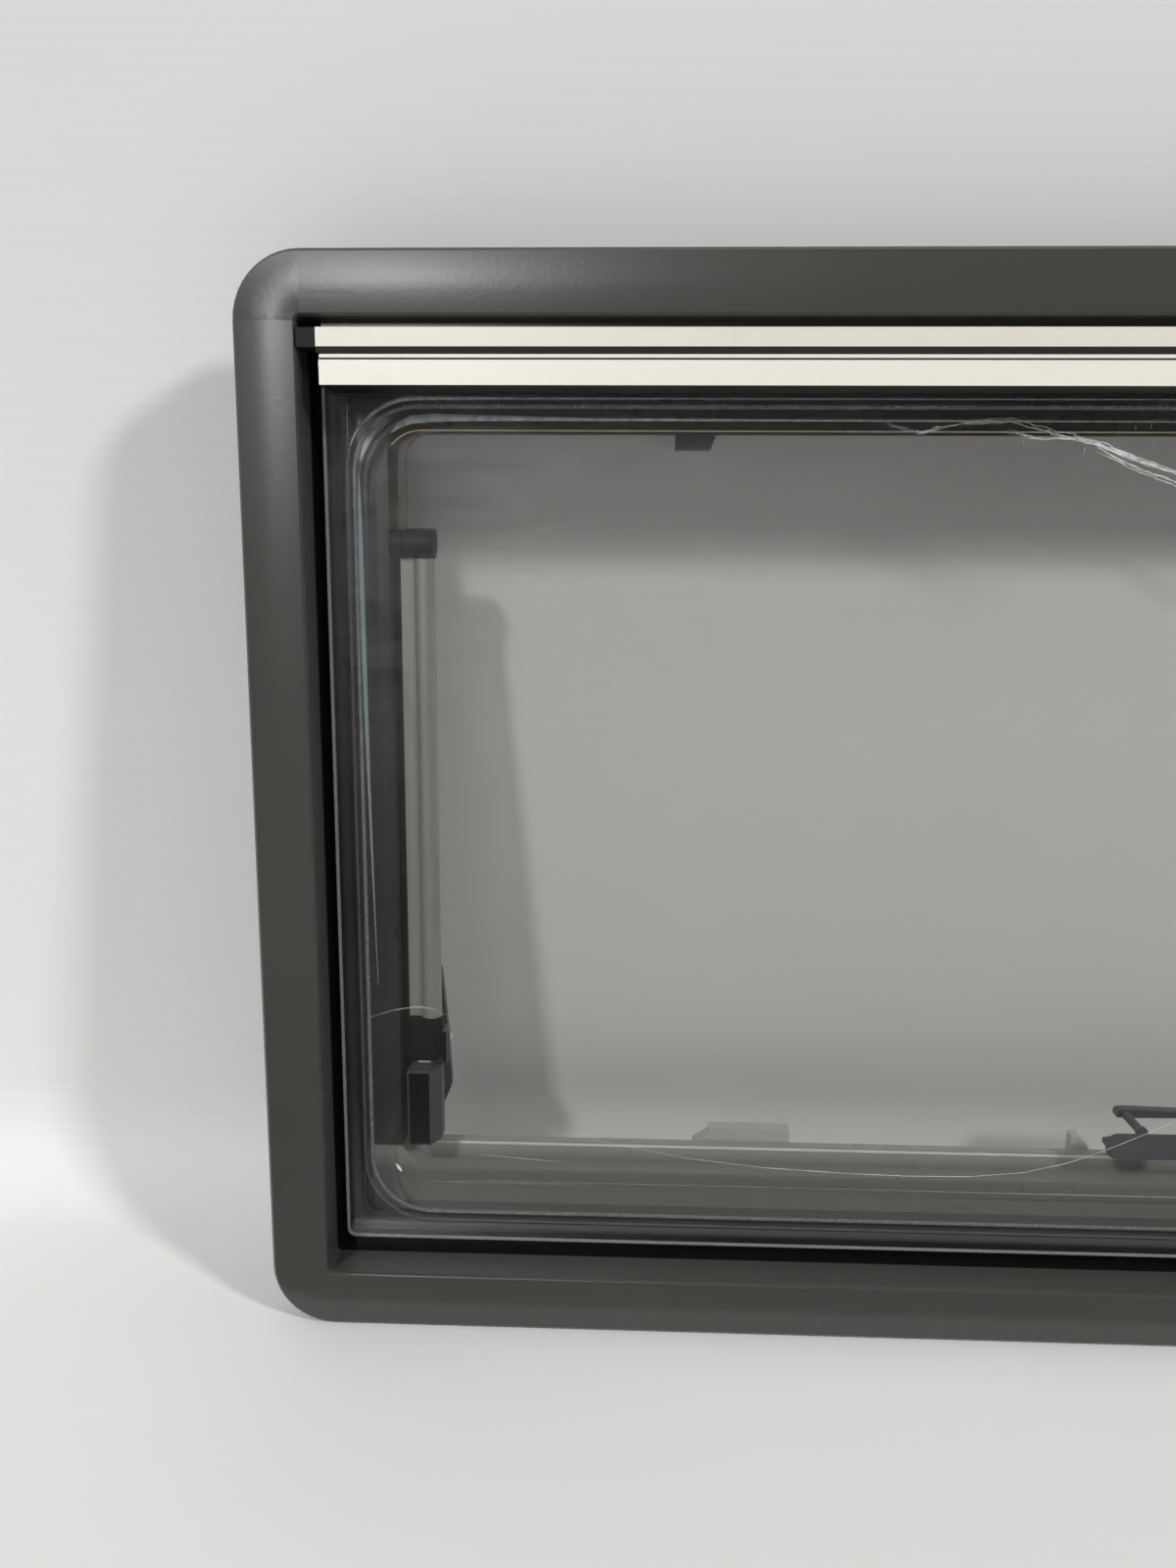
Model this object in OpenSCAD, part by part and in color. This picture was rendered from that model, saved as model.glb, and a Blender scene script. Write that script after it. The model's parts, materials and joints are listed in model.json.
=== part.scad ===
// Top-hung caravan window: a one-piece moulded frame, a twin-walled clear sash on a hinge rail,
// two telescopic stays and three turning latches.
// Millimetres. X runs right as seen from outside, Y runs inward, Z runs up.
// The origin lies on the flat rear of the flange, at the middle of its bottom band.
// Depths count inward from the front plane. Margins count from the outer edge of the frame.

/* [Frame] */
// Overall width of the moulded frame
outer_w = 936; // [700:1:1200]
// Overall height of the moulded frame
outer_h = 536; // [480:1:800]
// Corner radius of the outer edge
outer_corner_r = 32; // [31:1:60]
// How far the flange covers the wall round the cut-out
flange_overlap = 18; // [14:1:24]
// Gap between the cut-out and the collar inside it
cutout_gap = 2; // [1:0.5:4]
// Depth from the front plane to the wall face
flange_depth = 28; // [24:1:34]
// Width of the front band, outer edge to inner wall
band_w = 29.5; // [29:0.5:30]
// Rounding of the outer front edge
outer_edge_r = 5; // [3:0.5:8]
// Rounding of the inner front edge
lip_edge_r = 3.5; // [2:0.5:5]
// Crown of the front band
band_crown = 1.2; // [0.5:0.1:2]
// Width of that ledge, from the inner wall of the band
ledge_w = 14.5; // [13:0.5:15]
// Clearance between the inner pane and the floor behind it
floor_gap = 6; // [5:0.5:8]
// Width of the floor inside the ledge
floor_w = 17; // [16:0.5:18]
// Depth of the reveal between the floor and the rear rim
reveal_depth = 13; // [13:0.5:16]
// Thickness of the rear rim
rim_t = 5; // [4:0.5:7]
// How far the rear rim stands in from the reveal
rim_w = 6.5; // [4:0.5:7]
// How much wider the rear rim is at the bottom
rim_bottom_extra = 4; // [0:0.5:4]
// How much lower the inner steps lie at the top
top_drop = 7; // [7:0.5:8]
// How much further the ledge itself reaches at the top
ledge_top_extra = 9; // [8:0.5:10]
// How much higher the inner steps lie at the bottom
bottom_rise = 5; // [2:0.5:5]
// Inner corner radius of the ledge, the reveal and the rim
ledge_corner_r = 8; // [4:1:12]
// Inner corner radius of the reveal
reveal_corner_r = 16; // [8:1:24]
// Inner corner radius of the rear rim
rim_corner_r = 12; // [6:1:20]

/* [Hinge] */
// Distance of the hinge axis below the top edge
axis_drop = 47.3; // [47:0.1:50]
// Depth of the hinge axis
axis_depth = 4; // [4:0.1:5]
// Depth of the rails' front faces
rail_front = 0.8; // [0.5:0.1:1]
// Radius of the bead that the sash hangs on
bead_r = 2; // [1.8:0.1:2.2]
// Running gap between the bead and its socket
bead_gap = 0.3; // [0.2:0.05:0.4]
// Wall of the socket and of the rail webs
rail_wall = 1.5; // [1.2:0.1:1.8]
// Height of the bevel along the fixed rail's lower edge
rail_bevel_h = 2.6; // [1:0.1:4]
// Depth of that bevel
rail_bevel_t = 0.9; // [0.3:0.1:0.9]
// Thickness of the front plates
plate_t = 2; // [1.6:0.1:2.2]
// Width of each front plate
plate_w = 11; // [10:0.5:11.5]
// Gap between the two front plates
plate_gap = 3.2; // [3:0.1:4]
// Margin of the fixed rail's ends
frame_rail_margin = 38.8; // [36:0.1:42]
// Margin of the sash rail's ends
sash_rail_margin = 40; // [38:0.1:44]
// Depth of the fixed rail's section behind its front face
frame_rail_depth = 11.2; // [10:0.1:14]
// Thickness of the neck between the bead and the rail
neck_t = 1.2; // [1:0.1:1.4]
// Gap beside the neck where it leaves the socket
neck_gap = 0.37; // [0.3:0.01:0.5]
// Height of the black plug at each end of the rail
plug_h = 9; // [7:0.5:10]

/* [Sash] */
// Clearance between the sash and the frame's inner wall
sash_gap = 5; // [5:0.5:7]
// Extra clearance below the sash
sash_bottom_extra = 1.5; // [1:0.5:3]
// Depth of the outer pane's front face
pane_depth = 25; // [25:0.5:26]
// Thickness of the outer pane
outer_pane_t = 3; // [2.5:0.1:4]
// Thickness of the inner pane
inner_pane_t = 2.5; // [2:0.1:3]
// Corner radius of the outer pane
pane_corner_r = 5; // [3:0.5:10]
// Width of the flat border outside the contour
border_w = 12.5; // [12:0.5:14]
// Distance of the contour below the sash rail
contour_drop = 2.1; // [1.5:0.1:4]
// Corner radius of the contour
contour_r = 33; // [24:1:44]
// Width of the sloping wall inside the contour
slope_w = 12.5; // [8:0.5:14]
// Depth of the inner pane's rear face
inner_back = 42; // [40:0.5:42]
// How far the inner pane stays inside the outer pane's edge
inner_inset = 1.5; // [1:0.5:3]

/* [Seal] */
// Height of the seal
seal_h = 7.2; // [6.6:0.1:9]
// Margin between the band's inner wall and the seal
seal_inset = 3.5; // [2:0.5:4]
// Width of the seal's foot
seal_w = 10; // [8:0.5:10]
// Thickness of the seal's foot
seal_foot_t = 2; // [1.5:0.1:2.5]
// Radius of the seal's bulb
seal_bulb_r = 3.1; // [2.6:0.1:3.3]
// Wall of the seal's bulb
seal_wall = 1; // [0.8:0.1:1.4]
// Gap between the seal and the closed sash
seal_gap = 0.3; // [0.3:0.1:0.6]
// Outer corner radius of the seal
seal_corner_r = 14; // [12:1:18]

/* [Stays] */
// Distance of the stay's upper pivot below the top edge
stay_top_drop = 129.5; // [110:0.5:150]
// Height of the stay's foot pivot above the bottom edge
stay_foot_z = 141; // [140:0.5:160]
// Distance of both pivots behind the inner pane
stay_back = 11; // [10.5:0.5:11.5]
// Distance of the tube from the outer edge
stay_margin = 78; // [77.5:0.5:80]
// Radius of the tube
tube_r = 5.5; // [5:0.1:5.8]
// Radius of the rod inside the tube
rod_r = 3.3; // [2.8:0.1:3.4]
// Running gap round the rod
rod_gap = 0.4; // [0.3:0.1:0.6]
// Width of the flat strip along the tube
strip_w = 7; // [6:0.5:7]
// Thickness of that strip
strip_t = 2; // [1.5:0.1:3]
// Radius of the head at the upper pivot
head_r = 7.5; // [6.5:0.1:7.5]
// Width of the head
head_w = 15.7; // [14:0.1:17]
// Radius of the fixed stub beside the head
stub_r = 5; // [4:0.1:5]
// Radius of the pivot pin
pin_r = 3; // [2.5:0.1:3.5]
// Running gap round the pin and beside the head
pin_gap = 0.4; // [0.3:0.1:0.6]
// How far the head's middle lies outward of the tube
head_offset = 2.15; // [1.5:0.05:2.5]
// How much shorter the rod is than the tube
rod_spare = 12; // [8:1:40]
// Height of the neck below the head
head_neck = 14.5; // [12:0.5:18]
// Height of the socket's top above the foot pivot
socket_above = 11.5; // [8:0.5:14]
// Gap between the tube and the socket
foot_gap = 0.5; // [0.3:0.1:1]
// Height of the black socket at the foot
socket_h = 24; // [20:0.5:24]
// Width of the socket's front
socket_w = 17; // [14:0.5:17]
// Width of the socket's rear
socket_rear_w = 12; // [11:0.5:12]
// Radius of the hole through the socket
socket_hole_r = 2.3; // [2:0.1:2.6]
// Thickness of the ear beside the socket
ear_t = 2.5; // [2:0.1:4]
// Side gap between the ear and the socket
ear_gap = 1; // [0.8:0.1:2]
// Width of the ear's foot on the pane
ear_foot_w = 10; // [8:0.5:16]
// Radius of the rivet head on the ear
rivet_r = 3; // [2:0.1:3.5]

/* [Latches] */
// Length of a latch base
base_len = 38; // [34:0.5:38]
// Width of a latch base
base_w = 15; // [12:0.5:15]
// Depth of a latch base behind the pane
base_t = 14; // [12:0.5:14]
// Margin of the side latches
latch_margin = 77; // [77:0.5:80]
// Gap between a side latch and the stay's socket above it
latch_gap = 6.5; // [5:0.5:10]
// Height of the centre latch above the bottom edge
centre_latch_z = 92; // [92:0.5:100]
// Radius of the boss round the spindle
boss_r = 5.5; // [5:0.1:5.5]
// Height of that boss
boss_h = 2; // [1:0.5:2]
// Radius of the spindle
spindle_r = 3.5; // [3:0.1:3.8]
// Running gap round the spindle
spindle_gap = 0.4; // [0.3:0.1:0.6]
// Distance of the levers behind their bases
lever_back = 22; // [22:0.5:26]
// Thickness of a lever
lever_t = 6; // [4:0.5:9]
// Length of a lever from its spindle to its tip
lever_len = 75; // [50:1:80]
// Radius of a lever's round end
lever_end_r = 4.5; // [4:0.1:4.5]
// Radius of a lever's tip
lever_tip_r = 3; // [2:0.1:4]

/* [Clips] */
// Thickness of the clips behind the rim
clip_t = 8; // [5:0.5:10]
// How far the clips overlap the rim
clip_lap = 10; // [6:0.5:12]
// How far the lower clips stand past the rim
lower_clip_stand = 7.5; // [4:0.5:9]
// Width of a lower clip's body
lower_clip_w = 45; // [30:1:60]
// Distance of a lower clip's body from the middle
lower_clip_x = 191; // [150:1:240]
// Width of the slanted tab beside a lower clip
lower_tab_w = 9; // [6:0.5:14]
// Radius of the hole in that tab
tab_hole_r = 1.8; // [1.5:0.1:2.2]
// How far the upper clips hang past the rim
upper_clip_stand = 7; // [4:0.5:9]
// Width of an upper clip
upper_clip_w = 24; // [16:1:40]
// Distance of an upper clip from the middle
upper_clip_x = 238.5; // [200:0.5:300]
// Slant of an upper clip's inner end
upper_clip_slant = 6; // [2:0.5:8]
// How far the keeper's tabs stand past the rim
keeper_stand = 3; // [2:0.5:3]
// Width of each keeper tab
keeper_tab_w = 12.5; // [8:0.5:16]
// Distance of each keeper tab from the middle
keeper_x = 17.5; // [12:0.5:24]
// Thickness of the strip that joins the keeper's tabs
keeper_strip_t = 2.5; // [1.5:0.5:4]

/* [Hidden] */
$fn = 96;
// Small overlap that lets a cut pass a face
cut = 1;
// Sash
pane_back = pane_depth + outer_pane_t;
border_back = pane_back + inner_pane_t;
// Depths of the frame's steps
ledge_depth = border_back + seal_gap + seal_h;
floor_depth = inner_back + floor_gap;
rim_depth = floor_depth + reveal_depth;
// Margins of the frame's steps, each as side, top and bottom
collar_margin = flange_overlap + cutout_gap;
ledge_side = band_w + ledge_w;
ledge_margins = [ledge_side, ledge_side + top_drop + ledge_top_extra, ledge_side + cutout_gap];
reveal_side = ledge_side + floor_w;
reveal_margins = [reveal_side, reveal_side + top_drop, reveal_side + bottom_rise];
rim_margins = [reveal_side + rim_w, reveal_side + top_drop + rim_w,
               reveal_side + bottom_rise + rim_w + rim_bottom_extra];
rim_back = rim_depth + rim_t;
// Radius of the arc that crowns the front band
crown_r = (pow(band_w / 2, 2) + pow(band_crown, 2)) / (2 * band_crown);
// Hinge rail
plate_out = axis_depth - rail_front;
shoulder_depth = rail_front + frame_rail_depth;
shoulder_low = axis_drop - bead_r - bead_gap;
rail_back_out = plate_out - frame_rail_depth;
socket_out_r = bead_r + bead_gap + rail_wall;
pane_side = band_w + sash_gap;
pane_bottom = pane_side + sash_bottom_extra;
pane_top = axis_drop + plate_gap / 2 + 2 * rail_wall + plate_t;
channel_gap = 0.2;
channel_top = pane_top - rail_wall - 2 * channel_gap;
channel_bottom = axis_drop + plate_gap / 2 + plate_w;
contour_margins = [pane_side + border_w, channel_bottom + contour_drop, pane_bottom + border_w];
// Seal
seal_margins = [band_w + seal_inset, shoulder_low + seal_inset, band_w + seal_inset + cutout_gap];
// Stays
stay_depth = inner_back + stay_back;
stay_top_z = outer_h - stay_top_drop;
socket_top_z = stay_foot_z + socket_above;
tube_bottom_z = socket_top_z + foot_gap;
tube_len = stay_top_z - head_neck - tube_bottom_z;
head_start = stay_margin - head_offset - head_w / 2;
stub_end = head_start - pin_gap;
rod_len = tube_len - rod_spare;
socket_right = stay_margin + socket_rear_w / 2;
// Latches
base_back = inner_back + base_t;
lever_depth = base_back + lever_back;
side_latch_z = socket_top_z - socket_h - latch_gap - base_len / 2;
spindle_start = base_back - base_t / 2;

module placed() {
    translate([0, -flange_depth, outer_h / 2 - flange_overlap / 2]) rotate([90, 0, 0]) children();
}

// Height above the bottom edge, drop below the top edge and distance from the left edge
function up(v) = v - outer_h / 2;
function down(v) = outer_h / 2 - v;
function from_left(v) = v - outer_w / 2;

// A flat outline given thickness between two depths
module slab(front, back) {
    translate([0, 0, -back]) linear_extrude(back - front) children();
}

module rounded(w, h, r) {
    square([w - 2 * r, h], center = true);
    square([w, h - 2 * r], center = true);
    for (x = [-1, 1], y = [-1, 1])
        translate([x * (w / 2 - r), y * (h / 2 - r)]) circle(r);
}

// Rounded outline that lies inside the frame's outer edge by side, top and bottom margins
module inset_outline(margins, r) {
    translate([0, (margins[2] - margins[1]) / 2])
        rounded(outer_w - 2 * margins[0], outer_h - margins[1] - margins[2], r);
}

// Sweeps a section round such an outline. The section's x runs inward and its y runs outward.
module inset_sweep(margins, r) {
    w = outer_w - 2 * margins[0];
    h = outer_h - margins[1] - margins[2];
    translate([0, (margins[2] - margins[1]) / 2, 0])
        for (k = [0:3]) {
            run = k % 2 == 0 ? w : h;
            reach = k % 2 == 0 ? h : w;
            rotate([0, 0, 90 * k]) {
                rotate([90, 0, 90]) linear_extrude(run - 2 * r, center = true)
                    translate([reach / 2, 0]) mirror([1, 0]) children();
                translate([run / 2 - r, reach / 2 - r, 0]) rotate_extrude(angle = 90)
                    translate([r, 0]) mirror([1, 0]) children();
            }
        }
}

// Section of the front band and the collar wall behind it
module band_section() {
    intersection() {
        union() {
            translate([outer_edge_r, -flange_depth])
                square([band_w - outer_edge_r - lip_edge_r, flange_depth]);
            translate([0, -flange_depth]) square([outer_edge_r, flange_depth - outer_edge_r]);
            translate([band_w - lip_edge_r, -flange_depth])
                square([lip_edge_r, flange_depth - lip_edge_r]);
            translate([outer_edge_r, -outer_edge_r]) circle(outer_edge_r);
            translate([band_w - lip_edge_r, -lip_edge_r]) circle(lip_edge_r);
        }
        translate([band_w / 2, -crown_r]) circle(crown_r, $fn = 360);
    }
    translate([collar_margin, -ledge_depth])
        square([band_w - collar_margin, ledge_depth - flange_depth + cut]);
}

module outer_frame() {
    color("dimgray") placed() {
        inset_sweep([0, 0, 0], outer_corner_r) band_section();
        difference() {
            slab(ledge_depth, rim_back)
                inset_outline([collar_margin, collar_margin, collar_margin], outer_corner_r - collar_margin);
            slab(ledge_depth - cut, floor_depth) inset_outline(ledge_margins, ledge_corner_r);
            slab(ledge_depth - cut, rim_depth) inset_outline(reveal_margins, reveal_corner_r);
            slab(ledge_depth - cut, rim_back + cut) inset_outline(rim_margins, rim_corner_r);
        }
        slab(shoulder_depth, ledge_depth + cut)
            translate([0, down((collar_margin + shoulder_low) / 2)])
                square([outer_w - 2 * frame_rail_margin, shoulder_low - collar_margin], center = true);
    }
}

// Extrudes a rail section along X. In the section x runs up and y runs outward from the hinge axis.
module along_axis(length) {
    translate([0, down(axis_drop), -axis_depth])
        rotate([90, 0, 90]) linear_extrude(length, center = true) children();
}

module frame_rail_section() {
    low = plate_gap / 2;
    high = low + plate_w;
    web_low = bead_r + bead_gap;
    difference() {
        union() {
            translate([low, plate_out - plate_t]) square([plate_w, plate_t]);
            translate([high - rail_wall, rail_back_out]) square([rail_wall, frame_rail_depth]);
            translate([web_low, rail_back_out]) square([high - web_low, rail_wall]);
            translate([web_low, rail_back_out]) square([rail_wall, -rail_back_out]);
            circle(socket_out_r);
        }
        circle(bead_r + bead_gap);
        translate([-socket_out_r - cut, -neck_t / 2 - neck_gap])
            square([socket_out_r + cut + low, plate_out + socket_out_r]);
        translate([low - cut, plate_out]) square([plate_w, socket_out_r]);
        polygon([
            [low - cut, plate_out - rail_bevel_t], [low, plate_out - rail_bevel_t],
            [low + rail_bevel_h, plate_out], [low + rail_bevel_h, plate_out + cut], [low - cut, plate_out + cut]
        ]);
    }
}

module frame_hinge_rail() {
    color("gainsboro") placed() along_axis(outer_w - 2 * frame_rail_margin) frame_rail_section();
}

module hinge_end_plug() {
    width = frame_rail_margin - band_w;
    placed() slab(rail_front, shoulder_depth)
        translate([from_left(band_w), down(axis_drop - plate_gap / 2 - plate_w + plug_h)])
            square([width, plug_h]);
}

module sash_rail_section() {
    low = -plate_gap / 2 - plate_w;
    web_high = -(channel_top - axis_drop);
    pane_out = axis_depth - pane_depth;
    back_out = axis_depth - pane_back - channel_gap;
    circle(bead_r);
    translate([web_high - rail_wall, -neck_t / 2])
        square([rail_wall - web_high - plate_gap / 2, plate_out + neck_t / 2]);
    translate([low, plate_out - plate_t]) square([plate_w, plate_t]);
    translate([web_high - rail_wall, back_out - rail_wall])
        square([rail_wall, plate_out - back_out + rail_wall]);
    translate([low, pane_out + channel_gap]) square([rail_wall, plate_out - pane_out - channel_gap]);
    translate([low, pane_out + channel_gap]) square([web_high - low, rail_wall]);
    translate([low, back_out - rail_wall]) square([web_high - low, rail_wall]);
}

module sash_hinge_rail() {
    color("gainsboro") placed() along_axis(outer_w - 2 * sash_rail_margin) sash_rail_section();
}

module outer_pane() {
    color("slategray", 0.5) placed() slab(pane_depth, pane_back)
        inset_outline([pane_side, pane_top, pane_bottom], pane_corner_r);
}

// Section of the inner pane's sloping wall, from the contour inward
module slope_section() {
    lap = 2;
    lean = inner_pane_t * 0.6;
    polygon([
        [-lap, -pane_back], [lean, -pane_back], [slope_w + lean, -(inner_back - inner_pane_t)],
        [slope_w + lap + lean, -(inner_back - inner_pane_t)], [slope_w + lap + lean, -inner_back],
        [slope_w, -inner_back], [0, -border_back], [-lap, -border_back]
    ]);
}

module inner_pane() {
    top = channel_bottom + channel_gap;
    edge = [pane_side + inner_inset, top, pane_bottom + inner_inset];
    floor_margins = contour_margins + [1, 1, 1] * (slope_w + inner_pane_t * 0.6);
    floor_r = contour_r - slope_w - inner_pane_t * 0.6;
    color("slategray", 0.5) placed() {
        slab(pane_back, border_back) difference() {
            inset_outline(edge, pane_corner_r - inner_inset);
            inset_outline(contour_margins, contour_r);
        }
        inset_sweep(contour_margins, contour_r) slope_section();
        slab(inner_back - inner_pane_t, inner_back) inset_outline(floor_margins, floor_r);
    }
}

module seal_section() {
    foot_front = ledge_depth - seal_foot_t;
    bulb_out = -(border_back + seal_gap + seal_bulb_r);
    translate([0, -ledge_depth]) square([seal_w, seal_foot_t]);
    difference() {
        union() {
            translate([seal_w / 2, bulb_out]) circle(seal_bulb_r);
            translate([(seal_w - seal_bulb_r) / 2, -foot_front - seal_foot_t / 2])
                square([seal_bulb_r, foot_front + seal_foot_t / 2 + bulb_out - seal_bulb_r * 0.8]);
        }
        translate([seal_w / 2, bulb_out]) circle(seal_bulb_r - seal_wall);
    }
}

module sash_seal() {
    color("black") placed()
        inset_sweep(seal_margins, seal_corner_r) seal_section();
}

// Cylinder along X between two margins, centred on a pivot of the left stay
module cross_pin(start, end, z, r) {
    translate([from_left(start), up(z), -stay_depth]) rotate([0, 90, 0]) cylinder(h = end - start, r = r);
}

// Cylinder along the left stay between two heights
module along_stay(low, high, r) {
    translate([from_left(stay_margin), up(low), -stay_depth])
        rotate([-90, 0, 0]) cylinder(h = high - low, r = r);
}

// Block between two margins, two heights and two depths
module block(left, right, low, high, front, back) {
    translate([from_left(left), up(low), -back]) cube([right - left, high - low, back - front]);
}

module stay_mount() {
    placed() {
        cross_pin(reveal_side, stub_end, stay_top_z, stub_r);
        cross_pin(reveal_side, head_start + head_w - 2 * pin_r, stay_top_z, pin_r);
    }
}

module stay_head() {
    placed() difference() {
        union() {
            cross_pin(head_start, head_start + head_w, stay_top_z, head_r);
            along_stay(stay_top_z - head_neck, stay_top_z, tube_r);
        }
        cross_pin(head_start - cut, head_start + head_w - pin_r, stay_top_z, pin_r + pin_gap);
    }
}

module stay_tube() {
    top = tube_bottom_z + tube_len;
    placed() difference() {
        union() {
            along_stay(tube_bottom_z, top, tube_r);
            block(stay_margin - tube_r - strip_w + rod_gap, stay_margin - rod_r - rod_gap, tube_bottom_z, top,
                  stay_depth - strip_t / 2, stay_depth + strip_t / 2);
        }
        along_stay(tube_bottom_z - cut, top - 2 * rod_r, rod_r + rod_gap);
    }
}

module stay_rod() {
    placed() along_stay(socket_top_z, socket_top_z + rod_len, rod_r);
}

module stay_socket() {
    low = socket_top_z - socket_h;
    front = stay_depth - tube_r;
    placed() difference() {
        union() {
            block(socket_right - socket_w, socket_right, low, socket_top_z, front, stay_depth);
            block(socket_right - socket_rear_w, socket_right, low, socket_top_z, front, stay_depth + tube_r);
        }
        cross_pin(socket_right - socket_w - cut, socket_right + cut, stay_foot_z, socket_hole_r);
    }
}

module stay_foot() {
    start = socket_right + ear_gap;
    low = stay_foot_z - socket_h / 2;
    high = stay_foot_z + socket_h / 3;
    placed() {
        block(start, start + ear_t, low, high, inner_back, stay_depth + 2 * rivet_r);
        block(start, start + ear_foot_w, low, high, inner_back, inner_back + ear_t);
        cross_pin(start, start + ear_t + rivet_r / 2, stay_foot_z, rivet_r);
    }
}

// Moves a latch to its place. The turn is counted from a lever that points up.
module latch_place(x, z, turn) {
    translate([x, up(z), 0]) rotate([0, 0, turn]) children();
}

module latch_base() {
    difference() {
        union() {
            slab(inner_back, base_back) square([base_w, base_len], center = true);
            slab(base_back - cut, base_back + boss_h) circle(boss_r);
        }
        slab(spindle_start, base_back + boss_h + cut) circle(spindle_r + spindle_gap);
    }
}

module latch_lever() {
    slab(spindle_start + spindle_gap, lever_depth + cut) circle(spindle_r);
    slab(lever_depth, lever_depth + lever_t) {
        circle(lever_end_r);
        translate([0, lever_len - lever_tip_r]) circle(lever_tip_r);
        polygon([
            [-lever_end_r, 0], [lever_end_r, 0],
            [lever_tip_r, lever_len - lever_tip_r], [-lever_tip_r, lever_len - lever_tip_r]
        ]);
    }
}

module lower_clip() {
    low = rim_margins[2] - clip_lap;
    high = rim_margins[2] + lower_clip_stand;
    left = -lower_clip_x - lower_clip_w;
    placed() slab(rim_back, rim_back + clip_t) difference() {
        polygon([
            [left - lower_tab_w, up(low)], [-lower_clip_x, up(low)], [-lower_clip_x, up(high)],
            [left, up(high)], [left, up(high - lower_tab_w / 3)], [left - lower_tab_w, up(high - lower_tab_w)]
        ]);
        translate([left - lower_tab_w / 2, up(low + clip_lap / 2)]) circle(tab_hole_r);
    }
}

module upper_clip() {
    high = down(rim_margins[1] - clip_lap);
    low = down(rim_margins[1] + upper_clip_stand);
    placed() slab(rim_back, rim_back + clip_t) polygon([
        [-upper_clip_x - upper_clip_w, high], [-upper_clip_x, high],
        [-upper_clip_x - upper_clip_slant, low], [-upper_clip_x - upper_clip_w, low]
    ]);
}

module centre_keeper() {
    low = rim_margins[2] - clip_lap;
    span = keeper_x + keeper_tab_w;
    color("silver") placed() {
        slab(rim_back, rim_back + keeper_strip_t)
            translate([-span, up(low)]) square([2 * span, clip_lap / 2]);
        for (side = [0, 1]) mirror([side, 0, 0])
            slab(rim_back, rim_back + clip_t) translate([keeper_x, up(low)])
                square([keeper_tab_w, clip_lap + keeper_stand]);
    }
}

// The right half repeats the left half
module mirrored() {
    mirror([1, 0, 0]) children();
}

outer_frame();
frame_hinge_rail();
color("black") hinge_end_plug();  // hinge_end_plug_left
color("black") mirrored() hinge_end_plug();  // hinge_end_plug_right
sash_seal();
color("silver") lower_clip();  // lower_clip_left
color("silver") mirrored() lower_clip();  // lower_clip_right
color("gray") upper_clip();  // upper_clip_left
color("gray") mirrored() upper_clip();  // upper_clip_right
centre_keeper();
color("gray") stay_mount();  // stay_mount_left
color("gray") mirrored() stay_mount();  // stay_mount_right
outer_pane();
inner_pane();
sash_hinge_rail();
color("black") placed() latch_place(from_left(latch_margin), side_latch_z, 0) latch_base();  // latch_base_left
color("black") placed() latch_place(-from_left(latch_margin), side_latch_z, 0) latch_base();  // latch_base_right
color("black") placed() latch_place(0, centre_latch_z, -90) latch_base();  // latch_base_centre
color("dimgray") stay_foot();  // stay_foot_left
color("dimgray") mirrored() stay_foot();  // stay_foot_right
color("black") placed() latch_place(from_left(latch_margin), side_latch_z, 0) latch_lever();  // latch_lever_left
color("black") placed() latch_place(-from_left(latch_margin), side_latch_z, 0) latch_lever();  // latch_lever_right
color("black") placed() latch_place(0, centre_latch_z, -90) latch_lever();  // latch_lever_centre
color("black") stay_head();  // stay_head_left
color("black") mirrored() stay_head();  // stay_head_right
color("silver") stay_tube();  // stay_tube_left
color("silver") mirrored() stay_tube();  // stay_tube_right
color("silver") stay_rod();  // stay_rod_left
color("silver") mirrored() stay_rod();  // stay_rod_right
color("black") stay_socket();  // stay_socket_left
color("black") mirrored() stay_socket();  // stay_socket_right
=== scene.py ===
"""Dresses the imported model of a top-hung caravan window and sets it in a plain studio."""

import json
import logging
import math
import random
from collections.abc import Sequence
from dataclasses import dataclass
from enum import Enum

import bmesh
import bpy
from mathutils import Matrix, Vector


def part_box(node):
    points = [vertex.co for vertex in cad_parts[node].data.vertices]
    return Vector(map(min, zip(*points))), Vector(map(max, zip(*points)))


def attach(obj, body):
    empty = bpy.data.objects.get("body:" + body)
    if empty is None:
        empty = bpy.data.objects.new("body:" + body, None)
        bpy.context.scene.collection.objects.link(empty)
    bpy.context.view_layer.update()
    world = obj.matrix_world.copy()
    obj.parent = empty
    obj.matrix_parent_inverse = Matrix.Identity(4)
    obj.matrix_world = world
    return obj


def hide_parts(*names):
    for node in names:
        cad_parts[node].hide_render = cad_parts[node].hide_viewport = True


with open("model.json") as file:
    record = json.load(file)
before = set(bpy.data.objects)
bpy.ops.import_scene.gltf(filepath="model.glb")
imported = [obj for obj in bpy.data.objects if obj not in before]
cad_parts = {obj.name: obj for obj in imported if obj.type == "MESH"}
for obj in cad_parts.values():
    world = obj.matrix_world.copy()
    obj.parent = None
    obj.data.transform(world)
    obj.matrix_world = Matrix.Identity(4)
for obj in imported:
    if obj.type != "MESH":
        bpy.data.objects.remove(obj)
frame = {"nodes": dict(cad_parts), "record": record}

LOG = logging.getLogger("window")
MM = 0.001
Colour = tuple[float, float, float]
Margins = tuple[float, float, float]


class Side(Enum):
    """The two mirrored halves of the window."""

    LEFT = -1
    RIGHT = 1

    @property
    def word(self) -> str:
        """Name of the side as it stands at the end of node names."""
        return self.name.lower()


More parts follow.
